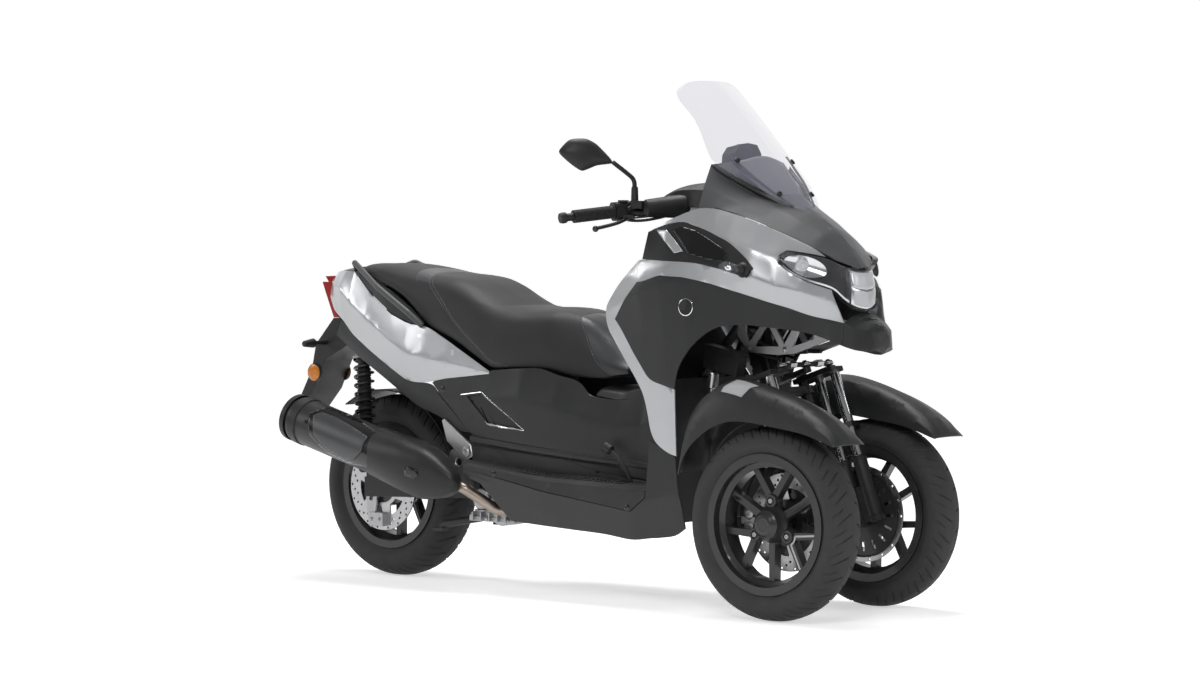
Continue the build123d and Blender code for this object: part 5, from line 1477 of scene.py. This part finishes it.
# Side reflectors: amber discs in black plastic rings, one on each side of the plate holder.
# Moulded and pressed in.
amber = finish("amber reflector", (0.62, 0.2, 0.01), 0.25, scale=120, amount=0.12, coat=0.5)
discs = bmesh.new()
rings = bmesh.new()
for side in (-1, 1):
    spot = aim((-1040, side * 61, 611), (0, side, 0))
    lathe(rings, [(-2, 28), (6, 28), (7.5, 26.8), (7.5, 25)], spot, 48)
    lathe(discs, [(5, 25.6), (8, 25.2), (9.4, 22), (9.8, 12), (9.9, 0)], spot, 48)
    lathe(rings, [(-30, 5), (-2, 5)], spot, 16)
mount("amber_reflectors", discs, amber, "chassis")
mount("reflector_rings", rings, black, "chassis")


# Rear brake caliper on its hanger beside the disc: silver painted cast alloy, held by two bolts.
# The hanger's foot sits on the axle.
hanger = bmesh.new()
plate(hanger, [[(-792, 262), (-768, 272), (-742, 262), (-748, 214), (-757, 158), (-770, 150), (-779, 160),
                (-786, 214)], circle(7, -767, 240), circle(5, -768, 172)], 9, facing((0, -94, 0), -1), 1.6)
slab(hanger, (-742, -92, 176), (58, 26, 40))
for x in (-760, -728):
    bolt(hanger, (x, -105, 176), (0, -1, 0), 5, 5)
mount("rear_caliper", hanger, silver_paint_and_spoke_highlight, "chassis", 0.0015)


# Exhaust on the right: heat tinted stainless header, black canister with a faceted heel cover, a satin shield
# over a gloss edge and an end cap. Coated steel and plastic, held by bolts.
tinted = finish("heat tinted steel", (0.32, 0.27, 0.23), 0.38, metal=0.9, scale=16, amount=0.25, dust=0.1)
heatproof = finish("heatproof black", (0.016, 0.016, 0.017), 0.45, amount=0.15, dust=0.06, grain=0.3,
                   grain_scale=600)
rounded("exhaust_pipe", tinted)
rounded("muffler", heatproof)
satin = finish("satin grey shield", (0.075, 0.077, 0.08), 0.34, metal=0.4, amount=0.06, dust=0.04)
FRONT_COVER = (
    # x, height of the middle, half height, out from the middle, half width
    (-606, 392, 73, 232, 73),
    (-540, 377, 76, 235, 75),
    (-470, 360, 78, 240, 72),
    (-395, 341, 76, 247, 62),
    (-340, 330, 62, 252, 50),
    (-299, 320, 43, 257, 36),
    (-270, 316, 22, 261, 20),
    (-262, 315, 6, 263, 6),
)
stations = [row[0] for row in FRONT_COVER]
rows = []
for i in range(45):
    x = -606 + 344 * i / 44
    middle, high, out, wide = eased(stations, [row[1:] for row in FRONT_COVER], x)
    row = []
    for k in range(48):
        a = 2 * math.pi * k / 48
        c, s = math.cos(a), math.sin(a)
        power = 2 + 1.6 * i / 44
        reach = (abs(c) ** power + abs(s) ** power) ** (-1 / power)
        row.append(Vector((x + 0.26 * s * reach * high * 0.4, -out - c * reach * wide,
                           middle + s * reach * high)) * MM)
    rows.append(row)
heel = bmesh.new()
laid = weave(heel, rows, closed=True)
heel.faces.new(laid[-1])
mount("muffler_heel", heel, heatproof, "chassis", 0.001, sharp=40)
trees["heel"] = BVHTree.FromPolygons([p for row in rows for p in row],
                                     [(i * 48 + k, i * 48 + (k + 1) % 48,
                                       (i + 1) * 48 + (k + 1) % 48, (i + 1) * 48 + k)
                                      for i in range(44) for k in range(48)])
shield_edge = bmesh.new()
shield = bmesh.new()
decal(shield_edge, "muffler", [(-838, 500), (-800, 514), (-738, 500), (-650, 474), (-560, 441), (-548, 412),
                               (-560, 362), (-600, 352), (-680, 362), (-760, 388), (-820, 436)],
      (0, 1, 0), 3.0)
decal(shield, "muffler", [(-818, 492), (-796, 500), (-740, 487), (-664, 462), (-596, 436), (-606, 396),
                          (-640, 372), (-690, 376), (-756, 402), (-800, 440)],
      (0, 1, 0), 6.0)
film_on("shield_edge", shield_edge, gloss, "chassis", 0.004)
film_on("shield", shield, satin, "chassis", 0.004)
plaque = bmesh.new()
decal(plaque, "heel", [(-428, 352), (-414, 362), (-382, 356), (-376, 336), (-392, 326), (-424, 334)],
      (0, 1, 0), 1.0, 0.01)
film_on("heel_plaque", plaque, gloss, "chassis", 0.002)
ends = bmesh.new()
back = aim((-950, -232, 484), (-0.966, 0, 0.258))
lathe(ends, [(-62, 70.5), (-60, 73), (-34, 73), (-32, 70.5)], back, 64)
lathe(ends, [(-14, 70.5), (-12, 72.5), (2, 72), (8, 66), (10, 58), (6, 54), (4, 30), (4, 24), (14, 23),
             (14, 19), (-6, 19), (-6, 0)], back, 64)
for angle in (20, 140, 260):
    a = math.radians(angle)
    bolt(ends, tuple(back @ Vector((42 * math.cos(a), 42 * math.sin(a), 4.5)) / MM), (-0.966, 0, 0.258), 4, 3)
for x, z in ((-846, 476), (-560, 340)):
    point = landed("muffler", (x, -600, z), (0, 1, 0), 0.0)
    if point is not None:
        bolt(ends, tuple(point), (0, -1, 0.1), 6, 4)
mount("muffler_cap", ends, black, "chassis", 0.0006)
